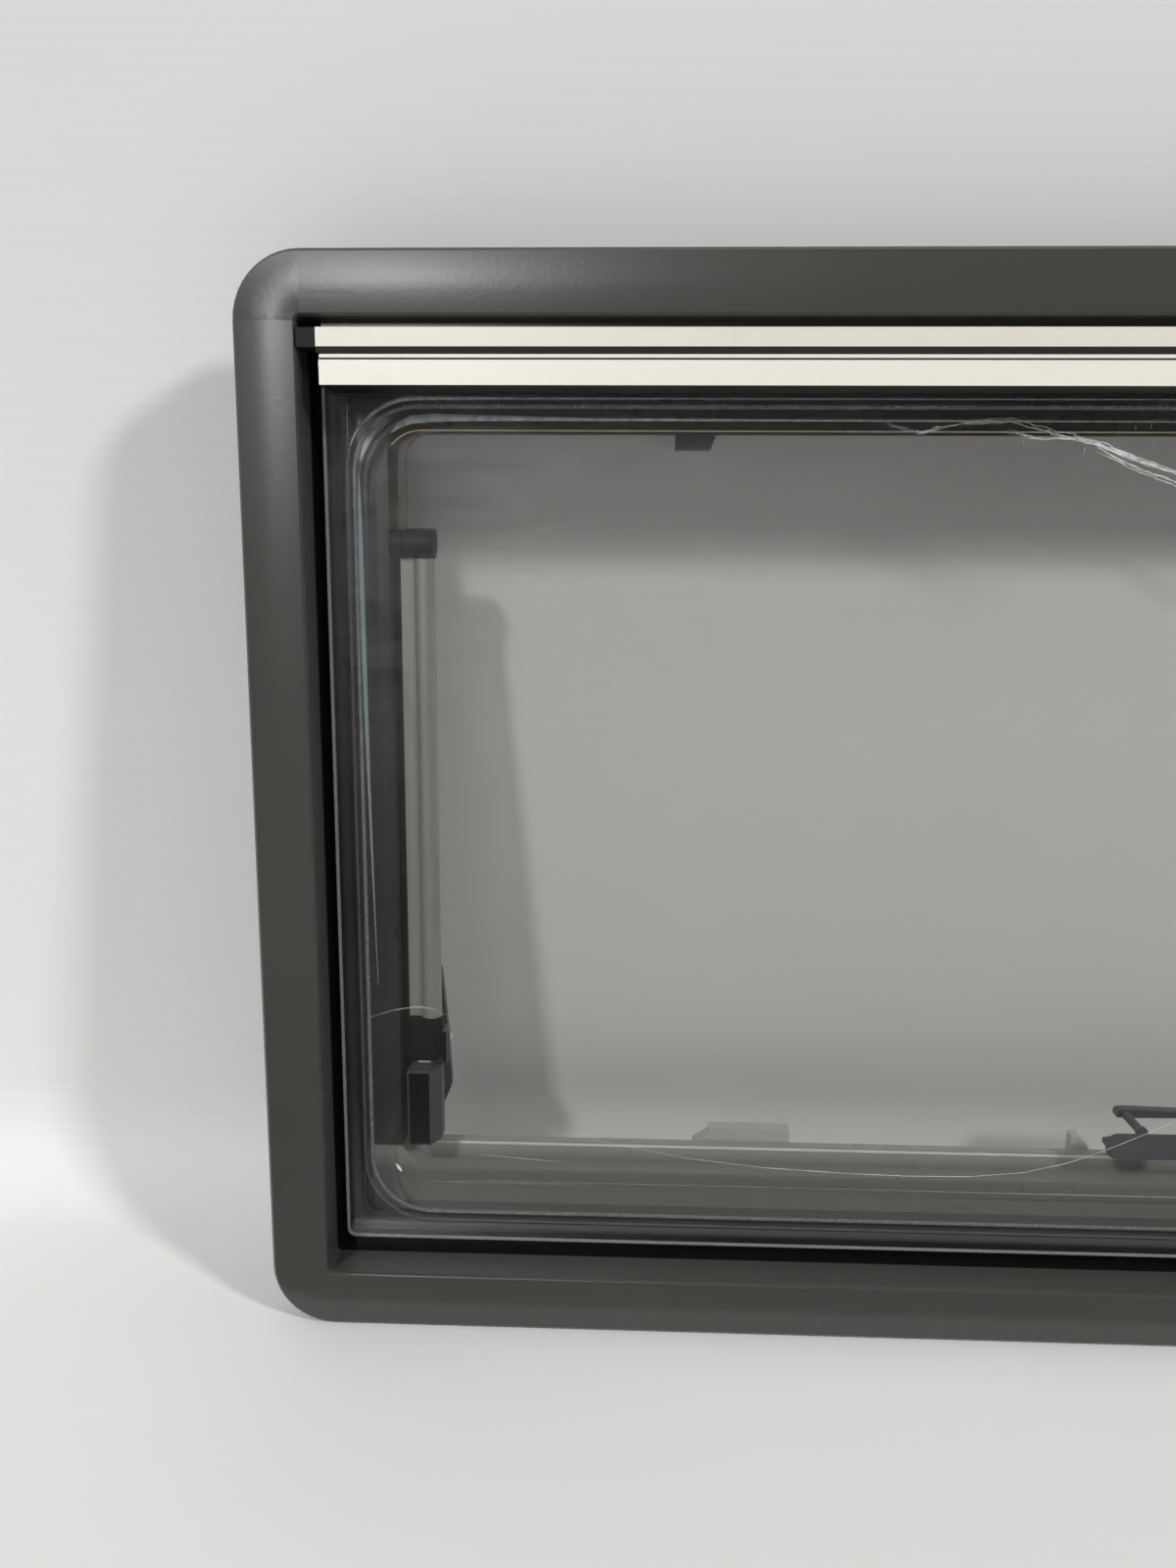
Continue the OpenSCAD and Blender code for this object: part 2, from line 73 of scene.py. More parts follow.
class Value:
    """A shader socket that takes part in Python expressions."""

    def __init__(self, recipe: "Recipe", socket: bpy.types.NodeSocket) -> None:
        """Keeps the socket and the recipe that new nodes go into.

        Args:
            recipe: the material or world under construction.
            socket: the output socket that this value stands for.
        """
        self.recipe = recipe
        self.socket = socket

    def math(self, operation: str, *others: "Value | float") -> "Value":
        """Passes this value through a Math node.

        Args:
            operation: the node's operation.
            others: further operands, values or numbers.

        Returns:
            The result as a new value.
        """
        operands = dict(enumerate((self, *others)))
        return self.recipe.value("ShaderNodeMath", 0, {"operation": operation}, operands)

    def __add__(self, other: "Value | float") -> "Value":
        """Sum."""
        return self.math("ADD", other)

    __radd__ = __add__

    def __sub__(self, other: "Value | float") -> "Value":
        """Difference."""
        return self.math("SUBTRACT", other)

    def __rsub__(self, other: "Value | float") -> "Value":
        """Difference with this value on the right."""
        return (self * -1.0) + other

    def __mul__(self, other: "Value | float") -> "Value":
        """Product."""
        return self.math("MULTIPLY", other)

    __rmul__ = __mul__

    def __truediv__(self, other: "Value | float") -> "Value":
        """Quotient."""
        return self.math("DIVIDE", other)

    def __pow__(self, other: float) -> "Value":
        """Power with a plain number."""
        return self.math("POWER", other)

    def above(self, low: float, high: float) -> "Value":
        """Ramp that is 0 at low, 1 at high and held between 0 and 1.

        Args:
            low: the value that gives 0.
            high: the value that gives 1.

        Returns:
            The ramped value.
        """
        span = {"From Min": low, "From Max": high}
        return self.recipe.value("ShaderNodeMapRange", 0, {}, {"Value": self, **span})

    def between(self, low: float, high: float) -> "Value":
        """Gives 1 between two bounds and 0 outside them."""
        return self.math("GREATER_THAN", low) * self.math("LESS_THAN", high)


class Recipe:
    """The node tree of one material or of the world."""

    def __init__(self, tree: bpy.types.NodeTree, output: str) -> None:
        """Empties the tree and gives it one output node.

        Args:
            tree: the node tree to fill.
            output: type of the output node.
        """
        self.tree = tree
        tree.nodes.clear()
        self.output = tree.nodes.new(output)

    def node(self, kind: str, settings: dict | None = None, values: dict | None = None) -> bpy.types.Node:
        """Adds one node.

        Args:
            kind: the node's type.
            settings: its own settings, which are set first.
            values: numbers, colours or values for its input sockets.

        Returns:
            The new node.
        """
        node = self.tree.nodes.new(kind)
        for key, setting in (settings or {}).items():
            setattr(node, key, setting)
        for key, value in (values or {}).items():
            if isinstance(value, Value):
                self.tree.links.new(value.socket, node.inputs[key])
            else:
                node.inputs[key].default_value = value
        return node

    def value(self, kind: str, output: int | str, settings: dict | None = None,
              values: dict | None = None) -> Value:
        """Adds one node and returns one of its outputs.

        Args:
            kind: the node's type.
            output: index or name of the output.
            settings: the node's settings.
            values: its inputs.

        Returns:
            The output as a value.
        """
        return Value(self, self.node(kind, settings, values).outputs[output])

    def place(self, scale: Colour = (1.0, 1.0, 1.0)) -> Value:
        """Object coordinates in metres, stretched by a scale.

        Args:
            scale: factor for each axis.

        Returns:
            The coordinates.
        """
        plain = self.value("ShaderNodeTexCoord", "Object")
        return self.value("ShaderNodeMapping", 0, {}, {"Vector": plain, "Scale": scale})

    def axes(self, vector: Value | None = None) -> tuple[Value, Value, Value]:
        """Splits a vector into its three numbers.

        Args:
            vector: the vector, or none for the object coordinates.

        Returns:
            The numbers along X, Y and Z.
        """
        parts = self.node("ShaderNodeSeparateXYZ", {}, {"Vector": self.place() if vector is None else vector})
        return tuple(Value(self, parts.outputs[axis]) for axis in "XYZ")

    def facing(self) -> tuple[Value, Value, Value]:
        """Splits the surface's normal into its three numbers."""
        return self.axes(self.value("ShaderNodeNewGeometry", "Normal"))

    def noise(self, scale: float, detail: float = 2.0, stretch: Colour = (1.0, 1.0, 1.0),
              rough: float = 0.5) -> Value:
        """Noise in object coordinates.

        Args:
            scale: waves per metre, roughly.
            detail: number of finer octaves.
            stretch: factor for each axis.
            rough: strength of the finer octaves.

        Returns:
            Noise from 0 to 1.
        """
        inputs = {"Vector": self.place(stretch), "Scale": scale, "Detail": detail, "Roughness": rough}
        return self.value("ShaderNodeTexNoise", 0, {}, inputs)

    def tint(self, factor: Value | float, low: Colour | Value, high: Colour | Value) -> Value:
        """Mixes two colours.

        Args:
            factor: share of the second colour.
            low: the first colour.
            high: the second colour.

        Returns:
            The mixed colour.
        """
        inputs = {0: factor, 6: as_rgba(low), 7: as_rgba(high)}
        return self.value("ShaderNodeMix", 2, {"data_type": "RGBA"}, inputs)

    def bump(self, height: Value, strength: float, distance: float) -> Value:
        """Turns a height into a normal.

        Args:
            height: the height from 0 to 1.
            strength: share of the full effect.
            distance: the height's depth in metres.

        Returns:
            The normal.
        """
        inputs = {"Height": height, "Strength": strength, "Distance": distance}
        return self.value("ShaderNodeBump", 0, {}, inputs)

    def surface(self, values: dict) -> Value:
        """Adds a Principled shader.

        Args:
            values: its inputs by name.

        Returns:
            The shader's output.
        """
        return self.value("ShaderNodeBsdfPrincipled", 0, {}, values)

    def mixed(self, factor: Value | float, low: Value, high: Value) -> Value:
        """Mixes two shaders.

        Args:
            factor: share of the second shader.
            low: the first shader.
            high: the second shader.

        Returns:
            The mixed shader.
        """
        return self.value("ShaderNodeMixShader", 0, {}, {0: factor, 1: low, 2: high})

    def close(self, shader: Value) -> None:
        """Links the shader to the output node."""
        self.tree.links.new(shader.socket, self.output.inputs["Surface"])


def as_rgba(colour: Colour | Value) -> Value | tuple[float, float, float, float]:
    """Gives a plain colour its fourth number and leaves a linked one alone."""
    return colour if isinstance(colour, Value) else (*colour, 1.0)


def new_material(name: str) -> tuple[bpy.types.Material, Recipe]:
    """Starts a material.

    Args:
        name: the material's name.

    Returns:
        The material and the recipe that fills it.
    """
    material = bpy.data.materials.new(name)
    material.use_nodes = True
    return material, Recipe(material.node_tree, "ShaderNodeOutputMaterial")


@dataclass(frozen=True)
class Moulding:
    """Dark textured plastic of the frame, with a fine orange peel and a little dust, a brown strip on the rim
    beside the stays, painted light on the bottom sill and ledge, and painted shade in the recess round the
    sash.
    """

    name: str = "moulding"
    colour: Colour = (0.0560, 0.0552, 0.0510)
    shown_half_width: float = 0.4400
    # Brown strip painted on the rim beside the stays, lighter than the moulding.
    stain: Colour = (0.150, 0.100, 0.043)
    stain_across: tuple[float, float] = (0.388, 0.4066)
    stain_depth: float = 0.031
    stain_low: float = 0.12
    # Painted light: the ledge behind the bottom of the sash is painted a lighter grey.
    border: Colour = (0.125, 0.125, 0.120)
    border_depths: tuple[float, float] = (0.0105, 0.0195)
    border_top: float = 0.040
    # Painted light: the bottom rim and reveal floor behind the sash get a pale colour, stronger towards the
    # rim's top edge.
    sill: Colour = (0.385, 0.389, 0.367)
    sill_top: float = 0.0695
    sill_fade: tuple[float, float] = (0.054, 0.064)
    # Painted shade: the recess walls round the sash and the ledge under the rail are painted near black.
    gap: Colour = (0.006, 0.006, 0.006)
    gap_depths: tuple[float, float] = (-0.0050, 0.0105)
    gap_side: float = 0.4325
    gap_rises: tuple[float, float] = (0.0275, 0.4570)
    roughness: float = 0.25
    peel_scale: float = 420.0
    peel_depth: float = 0.00007

    def make(self) -> bpy.types.Material:
        """Builds the material."""
        material, recipe = new_material(self.name)
        cloud = recipe.noise(9.0, 3.0)
        dust = recipe.noise(1500.0, 1.0).above(0.70, 0.80)
        across, depth, high = recipe.axes()
        across = across.math("ABSOLUTE")
        _, turned, tilted = recipe.facing()
        shown = turned.math("LESS_THAN", 0.5) * tilted.math("GREATER_THAN", -0.5)
        shown = shown * across.math("LESS_THAN", self.shown_half_width)
        # Brown strip on the rim beside the stays, mixed with the cloud.
        rim = shown * across.between(*self.stain_across)
        rim = rim * depth.math("GREATER_THAN", self.stain_depth) * high.math("GREATER_THAN", self.stain_low)
        shade = recipe.tint(cloud, scaled(self.colour, 0.93), scaled(self.colour, 1.07))
        shade = recipe.tint(rim * (cloud * 0.5 + 0.5), shade, self.stain)
        # Painted light on the ledge behind the bottom of the sash.
        border = depth.between(*self.border_depths) * high.math("LESS_THAN", self.border_top)
        shade = recipe.tint(border, shade, self.border)
        # Painted light on the bottom sill: pale colour on the faces seen from the front, stronger towards the
        # rim's top edge.
        sill = shown * high.math("LESS_THAN", self.sill_top)
        sill = sill * depth.math("GREATER_THAN", self.border_depths[1])
        shade = recipe.tint(sill * (high.above(*self.sill_fade) * 0.55 + 0.45), shade, self.sill)
        # Painted shade: near black on the recess walls and under the rail; the inner field inside these
        # bounds is left alone.
        edge = across.math("LESS_THAN", self.gap_side) * high.between(*self.gap_rises)
        shade = recipe.tint((1.0 - edge) * depth.between(*self.gap_depths), shade, self.gap)
        base = recipe.tint(dust * 0.35, shade, scaled(self.colour, 1.7))
        peel = recipe.noise(self.peel_scale, 1.5)
        grain = recipe.noise(self.peel_scale * 4.0, 1.0)
        height = peel * 0.8 + grain * 0.2
        recipe.close(recipe.surface({
            "Base Color": base, "Roughness": self.roughness + cloud * 0.06,
            "Normal": recipe.bump(height, 0.55, self.peel_depth),
        }))
        return material


@dataclass(frozen=True)
class RailPaint:
    """Off-white satin coat of the hinge rails, drawn in fine lines along their length, with painted shade on
    the faces that look down.
    """

    name: str = "rail_paint"
    colour: Colour = (0.735, 0.706, 0.630)
    # Painted shade: faces that look down get these colours, the bevel dark and the underside near black.
    bevel: Colour = (0.030, 0.029, 0.025)
    under: Colour = (0.012, 0.012, 0.010)

    def make(self) -> bpy.types.Material:
        """Builds the material."""
        material, recipe = new_material(self.name)
        drawn = recipe.noise(60.0, 3.0, (0.02, 12.0, 12.0))
        soil = recipe.noise(35.0, 5.0, (0.4, 1.0, 1.0), 0.65).above(0.60, 0.78)
        shade = recipe.tint(drawn, scaled(self.colour, 0.955), scaled(self.colour, 1.02))
        base = recipe.tint(soil * 0.16, shade, (0.42, 0.39, 0.33))
        # Painted shade by the normal: darker where the face looks down.
        _, _, up = recipe.facing()
        down = up * -1.0
        base = recipe.tint(down.above(0.20, 0.30), base, self.bevel)
        base = recipe.tint(down.above(0.60, 0.90), base, self.under)
        recipe.close(recipe.surface({
            "Base Color": base, "Roughness": 0.36 + soil * 0.2,
            "Normal": recipe.bump(drawn, 0.35, 0.00004),
        }))
        return material


@dataclass(frozen=True)
class Plastic:
    """Moulded plastic of the small fittings."""

    name: str
    colour: Colour
    roughness: float = 0.38
    wear: Colour = (0.16, 0.16, 0.155)
    wear_share: float = 0.25
    sheen: float = 0.5

    def make(self) -> bpy.types.Material:
        """Builds the material."""
        material, recipe = new_material(self.name)
        cloud = recipe.noise(70.0, 3.0)
        scuff = recipe.noise(420.0, 4.0, (1.0, 1.0, 0.25), 0.7).above(0.62, 0.74)
        shade = recipe.tint(cloud, scaled(self.colour, 0.88), scaled(self.colour, 1.12))
        grain = recipe.noise(2600.0, 1.0)
        recipe.close(recipe.surface({
            "Base Color": recipe.tint(scuff * self.wear_share, shade, self.wear),
            "Roughness": self.roughness + scuff * 0.15, "Specular IOR Level": self.sheen,
            "Normal": recipe.bump(grain, 0.35, 0.00003),
        }))
        return material


@dataclass(frozen=True)
class Rubber:
    """Matt rubber of the seal, paler towards the bottom."""

    name: str = "seal_rubber"
    colour: Colour = (0.018, 0.018, 0.018)
    dusty: Colour = (0.085, 0.085, 0.082)

    def make(self) -> bpy.types.Material:
        """Builds the material."""
        material, recipe = new_material(self.name)
        bloom = recipe.noise(120.0, 4.0, rough=0.6)
        _, _, high = recipe.axes()
        # The seal turns paler towards the bottom.
        low = 1.0 - high.above(0.045, 0.11)
        shade = recipe.tint(bloom * 0.5, self.colour, scaled(self.colour, 2.4))
        recipe.close(recipe.surface({
            "Base Color": recipe.tint(low, shade, self.dusty),
            "Roughness": 0.62 + bloom * 0.2,
            "Normal": recipe.bump(recipe.noise(1800.0), 0.4, 0.00004),
        }))
        return material


@dataclass(frozen=True)
class Metal:
    """Drawn metal of the stays, with lines along the stay."""

    name: str
    colour: Colour = (0.46, 0.455, 0.42)
    metallic: float = 0.45
    roughness: float = 0.48

    def make(self) -> bpy.types.Material:
        """Builds the material."""
        material, recipe = new_material(self.name)
        drawn = recipe.noise(160.0, 3.0, (8.0, 8.0, 0.05))
        stain = recipe.noise(40.0, 4.0, (3.0, 3.0, 0.6), 0.65).above(0.55, 0.75)
        shade = recipe.tint(drawn, scaled(self.colour, 0.86), scaled(self.colour, 1.08))
        recipe.close(recipe.surface({
            "Base Color": recipe.tint(stain * 0.35, shade, (0.30, 0.25, 0.18)),
            "Metallic": self.metallic, "Roughness": self.roughness + drawn * 0.12,
            "Normal": recipe.bump(drawn, 0.3, 0.00003),
        }))
        return material


@dataclass(frozen=True)
class SmokyPane:
    """Clear smoky acrylic: see-through, with a mirror sheen, a faint haze of dust and a wiped corner."""

    name: str
    passes: Colour = (0.960, 0.960, 0.957)
    haze: float = 0.03
    base_sheen: float = 0.04
    wiped: float = 0.0
    wiped_across: tuple[float, float] = (-0.36, -0.12)
    wiped_rises: tuple[float, float] = (0.24, 0.40)

    def make(self) -> bpy.types.Material:
        """Builds the material."""
        material, recipe = new_material(self.name)
        facing = recipe.value("ShaderNodeLayerWeight", "Facing", {}, {"Blend": 0.5})
        sheen = (facing ** 5.0) * (1.0 - self.base_sheen) + self.base_sheen
        clear = recipe.value("ShaderNodeBsdfTransparent", 0, {}, {"Color": as_rgba(self.passes)})
        mirror = recipe.surface({"Base Color": (1.0, 1.0, 1.0, 1.0), "Metallic": 1.0, "Roughness": 0.02})
        dusty = recipe.surface({"Base Color": (0.75, 0.75, 0.74, 1.0), "Roughness": 0.6})
        smear = recipe.noise(7.0, 1.0, (1.0, 1.0, 2.2), 0.62).above(0.45, 0.75)
        veil = (smear * 0.6 + 0.4) * self.haze
        if self.wiped:
            swirl = recipe.noise(95.0, 3.0, (0.35, 1.0, 1.3), 0.6).above(0.38, 0.75) * 0.7 + 0.3
            across, _, high = recipe.axes()
            corner = (1.0 - across.above(*self.wiped_across)) * high.above(*self.wiped_rises)
            veil = veil + swirl * (corner * self.wiped)
        recipe.close(recipe.mixed(veil, recipe.mixed(sheen, clear, mirror), dusty))
        return material


@dataclass(frozen=True)
class PaneMark:
    """Pale line on the acrylic, for scratches and chips and for painted highlights along ridges and edges."""

    name: str
    colour: Colour = (0.75, 0.75, 0.73)
    cover: float = 0.5
    breaks: float = 0.6
    roughness: float = 0.25

    def make(self) -> bpy.types.Material:
        """Builds the material."""
        material, recipe = new_material(self.name)
        clear = recipe.value("ShaderNodeBsdfTransparent", 0)
        solid = recipe.surface({"Base Color": as_rgba(self.colour), "Roughness": self.roughness})
        broken = recipe.noise(160.0, 3.0, rough=0.7).above(0.38, 0.62)
        recipe.close(recipe.mixed((broken * self.breaks + (1.0 - self.breaks)) * self.cover, clear, solid))
        return material


@dataclass(frozen=True)
class PaleSheet:
    """White ribbed sheet of the studio, seen only from its front, with painted shade towards the top of the
    wall.
    """

    name: str = "studio_sheet"
    colour: Colour = (0.80, 0.795, 0.785)
    floor: Colour = (0.830, 0.825, 0.814)
    rib_pitch: float = 0.0065
    shade_rises: tuple[float, float] = (0.30, 0.62)
    floor_rises: tuple[float, float] = (-0.005, 0.03)

    def make(self) -> bpy.types.Material:
        """Builds the material."""
        material, recipe = new_material(self.name)
        ribs = recipe.value("ShaderNodeTexWave", 1, {"bands_direction": "Z", "wave_profile": "SIN"}, {
            "Vector": recipe.place(), "Scale": 0.314 / self.rib_pitch, "Distortion": 0.4, "Detail": 0.0,
        })
        cloud = recipe.noise(2.5, 2.0)
        shade = recipe.tint(ribs * 0.5 + cloud * 0.5, scaled(self.colour, 0.985), scaled(self.colour, 1.015))
        _, _, up = recipe.axes()
        # Painted shade: the wall darkens by a tenth towards its top.
        shade = recipe.tint(up.above(*self.shade_rises) * 0.10, shade, (0.0, 0.0, 0.0))
        shade = recipe.tint(1.0 - up.above(*self.floor_rises), shade, self.floor)
        paper = recipe.surface({"Base Color": shade, "Roughness": 0.65})
        clear = recipe.value("ShaderNodeBsdfTransparent", 0)
        behind = recipe.value("ShaderNodeNewGeometry", "Backfacing")
        recipe.close(recipe.mixed(behind, paper, clear))
        return material


def scaled(colour: Colour, factor: float) -> Colour:
    """Multiplies a colour by a number."""
    return (colour[0] * factor, colour[1] * factor, colour[2] * factor)


def grey_of(level: float) -> Colour:
    """Gives the grey of one level."""
    return (level, level, level)


class Finishes:
    """All finishes of the window, each made once."""

    def __init__(self) -> None:
        """Builds the materials."""
        self.moulding = Moulding().make()
        self.rail = RailPaint().make()
        # Painted light: a lighter copy of the rail paint for the sash rail, which shows brighter than the
        # frame rail.
        self.sash_rail = RailPaint("sash_rail_paint", (0.815, 0.783, 0.700)).make()
        self.rubber = Rubber().make()
        self.outer_pane = SmokyPane("outer_acrylic", haze=0.008, wiped=0.040).make()
        self.inner_pane = SmokyPane("inner_acrylic", haze=0.004).make()
        # Painted highlights: pale lines on the inner contour ridge and the foot of the slope, and fainter
        # ones on the outer ridge and the pane's edge.
        self.bead = PaneMark("pane_bead", (0.60, 0.62, 0.62), 0.36, 0.15, 0.4).make()
        self.faint = PaneMark("pane_faint_bead", (0.48, 0.49, 0.49), 0.30, 0.15, 0.5).make()
        self.sheen = PaneMark("pane_sheen", (0.86, 0.89, 0.92), 0.72, 0.45, 0.4).make()
        self.glint = PaneMark("pane_glint", (0.50, 0.62, 0.66), 0.34, 0.1).make()
        # Painted highlight: the warm line along the top of the slope's inner edge.
        self.amber = PaneMark("pane_amber_edge", (0.86, 0.77, 0.55), 0.85, 0.25).make()
        self.scratch = PaneMark("pane_scratch", (0.85, 0.85, 0.84), 0.8).make()
        self.metal = Metal("stay_tube_metal").make()
        self.rivet = Plastic("rivet_bright", (0.80, 0.80, 0.78), 0.3).make()
        self.black = Plastic("black_fitting", (0.009, 0.009, 0.010), 0.60, grey_of(0.04), sheen=0.25).make()
        self.dark = Plastic("dark_fitting", (0.085, 0.086, 0.085)).make()
        self.slab = Plastic("slab_fitting", (0.112, 0.116, 0.124), 0.5).make()
        self.pad = Plastic("latch_pad_black", grey_of(0.003), 0.7, grey_of(0.01), sheen=0.05).make()
        # Painted shade: the upper clips are painted dark grey as shaded copies of the pale lower clips.
        self.grey = Plastic("grey_fitting", (0.085, 0.085, 0.083)).make()
        # Painted highlight: pale paint for the bead along the bottom rim's top edge.
        self.bright = Plastic("rim_edge_bright", (0.72, 0.72, 0.69), 0.5, (0.6, 0.6, 0.57), 0.1).make()
        self.pale = Plastic("pale_fitting", (0.52, 0.52, 0.50), 0.42, (0.40, 0.39, 0.36)).make()


@dataclass(frozen=True)
class Plan:
    """Places given by margin, rise and depth in millimetres, turned into the frame's metres."""

    left: float
    front: float
    bottom: float
    width: float
    height: float

    @classmethod
    def from_frame(cls) -> "Plan":
        """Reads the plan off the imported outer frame."""
        low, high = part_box("outer_frame")
        return cls(low.x, low.y, low.z, (high.x - low.x) / MM, (high.z - low.z) / MM)

    def point(self, margin: float, rise: float, depth: float) -> Vector:
        """Gives the place of a point.

        Args:
            margin: distance from the left edge.
            rise: height above the bottom edge.
            depth: distance behind the front plane.

        Returns:
            The point in metres.
        """
        return Vector((self.left + margin * MM, self.front + depth * MM, self.bottom + rise * MM))

    def outline(self, margins: Margins, radius: float, depth: float, steps: int = 16) -> list[Vector]:
        """Runs once round a rectangle with rounded corners.

        Args:
            margins: side, top and bottom distance from the frame's edges.
            radius: corner radius.
            depth: depth of the outline.
            steps: segments in each corner.

        Returns:
            The outline's points, anticlockwise as seen from outside.
        """
        side, top, low = margins
        centres = (
            (self.width - side - radius, self.height - top - radius),
            (side + radius, self.height - top - radius),
            (side + radius, low + radius),
            (self.width - side - radius, low + radius),
        )
        points = []
        for quarter, (across, rise) in enumerate(centres):
            for step in range(steps + 1):
                angle = math.radians(90) * (quarter + step / steps)
                points.append(self.point(
                    across + radius * math.cos(angle), rise + radius * math.sin(angle), depth))
        return points


class Form:
    """The mesh of one piece under construction."""

    def __init__(self) -> None:
        """Starts an empty mesh."""
        self.shape = bmesh.new()

    def loft(self, loops: Sequence[Sequence[Vector]], caps: bool = True, ring: bool = False) -> None:
        """Joins closed loops of equal length by faces.

        Args:
            loops: the loops in order.
            caps: whether the first and last loop are closed by a face.
            ring: whether the last loop joins the first.
        """
        rows = [[self.shape.verts.new(point) for point in loop] for loop in loops]
        pairs = list(zip(rows, rows[1:]))
        if ring:
            pairs.append((rows[-1], rows[0]))
        for low, high in pairs:
            for k in range(len(low)):
                following = (k + 1) % len(low)
                self.shape.faces.new((low[k], low[following], high[following], high[k]))
        if caps and not ring:
            self.shape.faces.new(list(reversed(rows[0])))
            self.shape.faces.new(rows[-1])

    def tube(self, path: Sequence[Vector], radii: Sequence[float], sides: int = 6,
             closed: bool = False) -> None:
        """Runs a round tube along a path.

        Args:
            path: the points of its centre line.
            radii: one radius for each point.
            sides: sides of the tube.
            closed: whether the path joins its own start.
        """
        count = len(path)
        loops = []
        for k, point in enumerate(path):
            after = path[(k + 1) % count] if closed else path[min(k + 1, count - 1)]
            before = path[k - 1] if closed else path[max(k - 1, 0)]
            along = (after - before).normalized()
            side = along.cross(Vector((0.0, 1.0, 0.0))).normalized()
            out = side.cross(along)
            turns = [math.tau * s / sides for s in range(sides)]
            loops.append([point + (side * math.cos(a) + out * math.sin(a)) * radii[k] for a in turns])
        self.loft(loops, caps=not closed, ring=closed)

    def prism(self, outline: Sequence[Vector], offset: Vector) -> None:
        """Gives a flat outline thickness.

        Args:
            outline: the outline's points.
            offset: the way from its front to its back.
        """
        self.loft([list(outline), [point + offset for point in outline]])

    def soften(self, width: float, segments: int = 2, limit_deg: float = 30.0) -> None:
        """Rounds every edge that is sharper than a limit.

        Args:
            width: width of the rounding in metres.
            segments: steps across it.
            limit_deg: the smallest angle that is rounded.
        """
        bmesh.ops.recalc_face_normals(self.shape, faces=self.shape.faces)
        limit = math.radians(limit_deg)
        edges = [e for e in self.shape.edges if e.is_manifold and e.calc_face_angle(0.0) > limit]
        bmesh.ops.bevel(self.shape, geom=edges, offset=width, segments=segments, affect="EDGES",
                        profile=0.5, clamp_overlap=True)

    def done(self, name: str, material: bpy.types.Material, sharp_deg: float = 40.0) -> bpy.types.Object:
        """Closes the mesh into an object.

        Args:
            name: the piece's name.
            material: its finish.
            sharp_deg: the angle above which an edge stays sharp in the shading.

        Returns:
            The new object.
        """
        bmesh.ops.recalc_face_normals(self.shape, faces=self.shape.faces)
        data = bpy.data.meshes.new(name)
        self.shape.to_mesh(data)
        self.shape.free()
        data.materials.append(material)
        smooth(data, sharp_deg)
        piece = bpy.data.objects.new(name, data)
        bpy.context.scene.collection.objects.link(piece)
        weighted = piece.modifiers.new("flat_faces", "WEIGHTED_NORMAL")
        weighted.keep_sharp = True
        weighted.weight = 100
        return piece


def filleted(corners: Sequence[tuple[float, float]], radius: float,
             steps: int = 4) -> list[tuple[float, float]]:
    """Rounds the inner corners of an open section.

    Args:
        corners: the section's corners.
        radius: radius of each rounding.
        steps: segments in each rounding.

    Returns:
        The rounded section.
    """
    points = [corners[0]]
    for before, corner, after in zip(corners, corners[1:], corners[2:]):
        turn = Vector(corner)
        back = (Vector(before) - turn).normalized()
        ahead = (Vector(after) - turn).normalized()
        reach = radius / math.tan(back.angle(ahead) / 2)
        start, end = turn + back * reach, turn + ahead * reach
        for step in range(steps + 1):
            share = step / steps
            low, high = start.lerp(turn, share), turn.lerp(end, share)
            points.append(tuple(low.lerp(high, share)))
    points.append(corners[-1])
    return points


def smooth(data: bpy.types.Mesh, sharp_deg: float) -> None:
    """Shades a mesh smooth and keeps its sharp edges.

    Args:
        data: the mesh.
        sharp_deg: the angle above which an edge stays sharp.
    """
    data.polygons.foreach_set("use_smooth", [True] * len(data.polygons))
    data.set_sharp_from_angle(angle=math.radians(sharp_deg))


class Packed:
    """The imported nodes, with their bodies and material slots."""

    def __init__(self) -> None:
        """Reads the record."""
        record = frame["record"]
        self.bodies = {n: body for body, nodes in record["behaviour"]["bodies"].items() for n in nodes}
        self.slots = {part["node"]: part["material_slot"] for part in record["subparts"]}

    def paint(self, material: bpy.types.Material, *nodes: str) -> None:
        """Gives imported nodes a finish.

        Args:
            material: the finish.
            nodes: names of the nodes.
        """
        for name in nodes:
            data = frame["nodes"][name].data
            data.materials.clear()
            data.materials.append(material)
            LOG.info("painted %s", name)

    def stand_in(self, piece: bpy.types.Object, node: str) -> bpy.types.Object:
        """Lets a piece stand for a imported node.

        Args:
            piece: the new piece.
            node: the node it replaces.

        Returns:
            The piece.
        """
        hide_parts(node)
        return self.fasten(piece, node)

    def fasten(self, piece: bpy.types.Object, node: str) -> bpy.types.Object:
        """Lets a piece ride with a node's body.

        Args:
            piece: the new piece.
            node: the node that carries it.

        Returns:
            The piece.
        """
        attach(piece, self.bodies[node])
        LOG.info("built %s", piece.name)
        return piece

    def rounded_copy(self, node: str, material: bpy.types.Material, width: float) -> bpy.types.Object:
        """Replaces a node by a copy with rounded edges.

        Args:
            node: the node.
            material: its finish.
            width: width of the rounding in metres.

        Returns:
            The copy.
        """
        form = Form()
        form.shape.from_mesh(frame["nodes"][node].data)
        bmesh.ops.remove_doubles(form.shape, verts=form.shape.verts, dist=0.00001)
        bmesh.ops.dissolve_limit(form.shape, angle_limit=math.radians(1.0), verts=form.shape.verts,
                                 edges=form.shape.edges)
        form.soften(width)
        return self.stand_in(form.done(node + "_form", material), node)


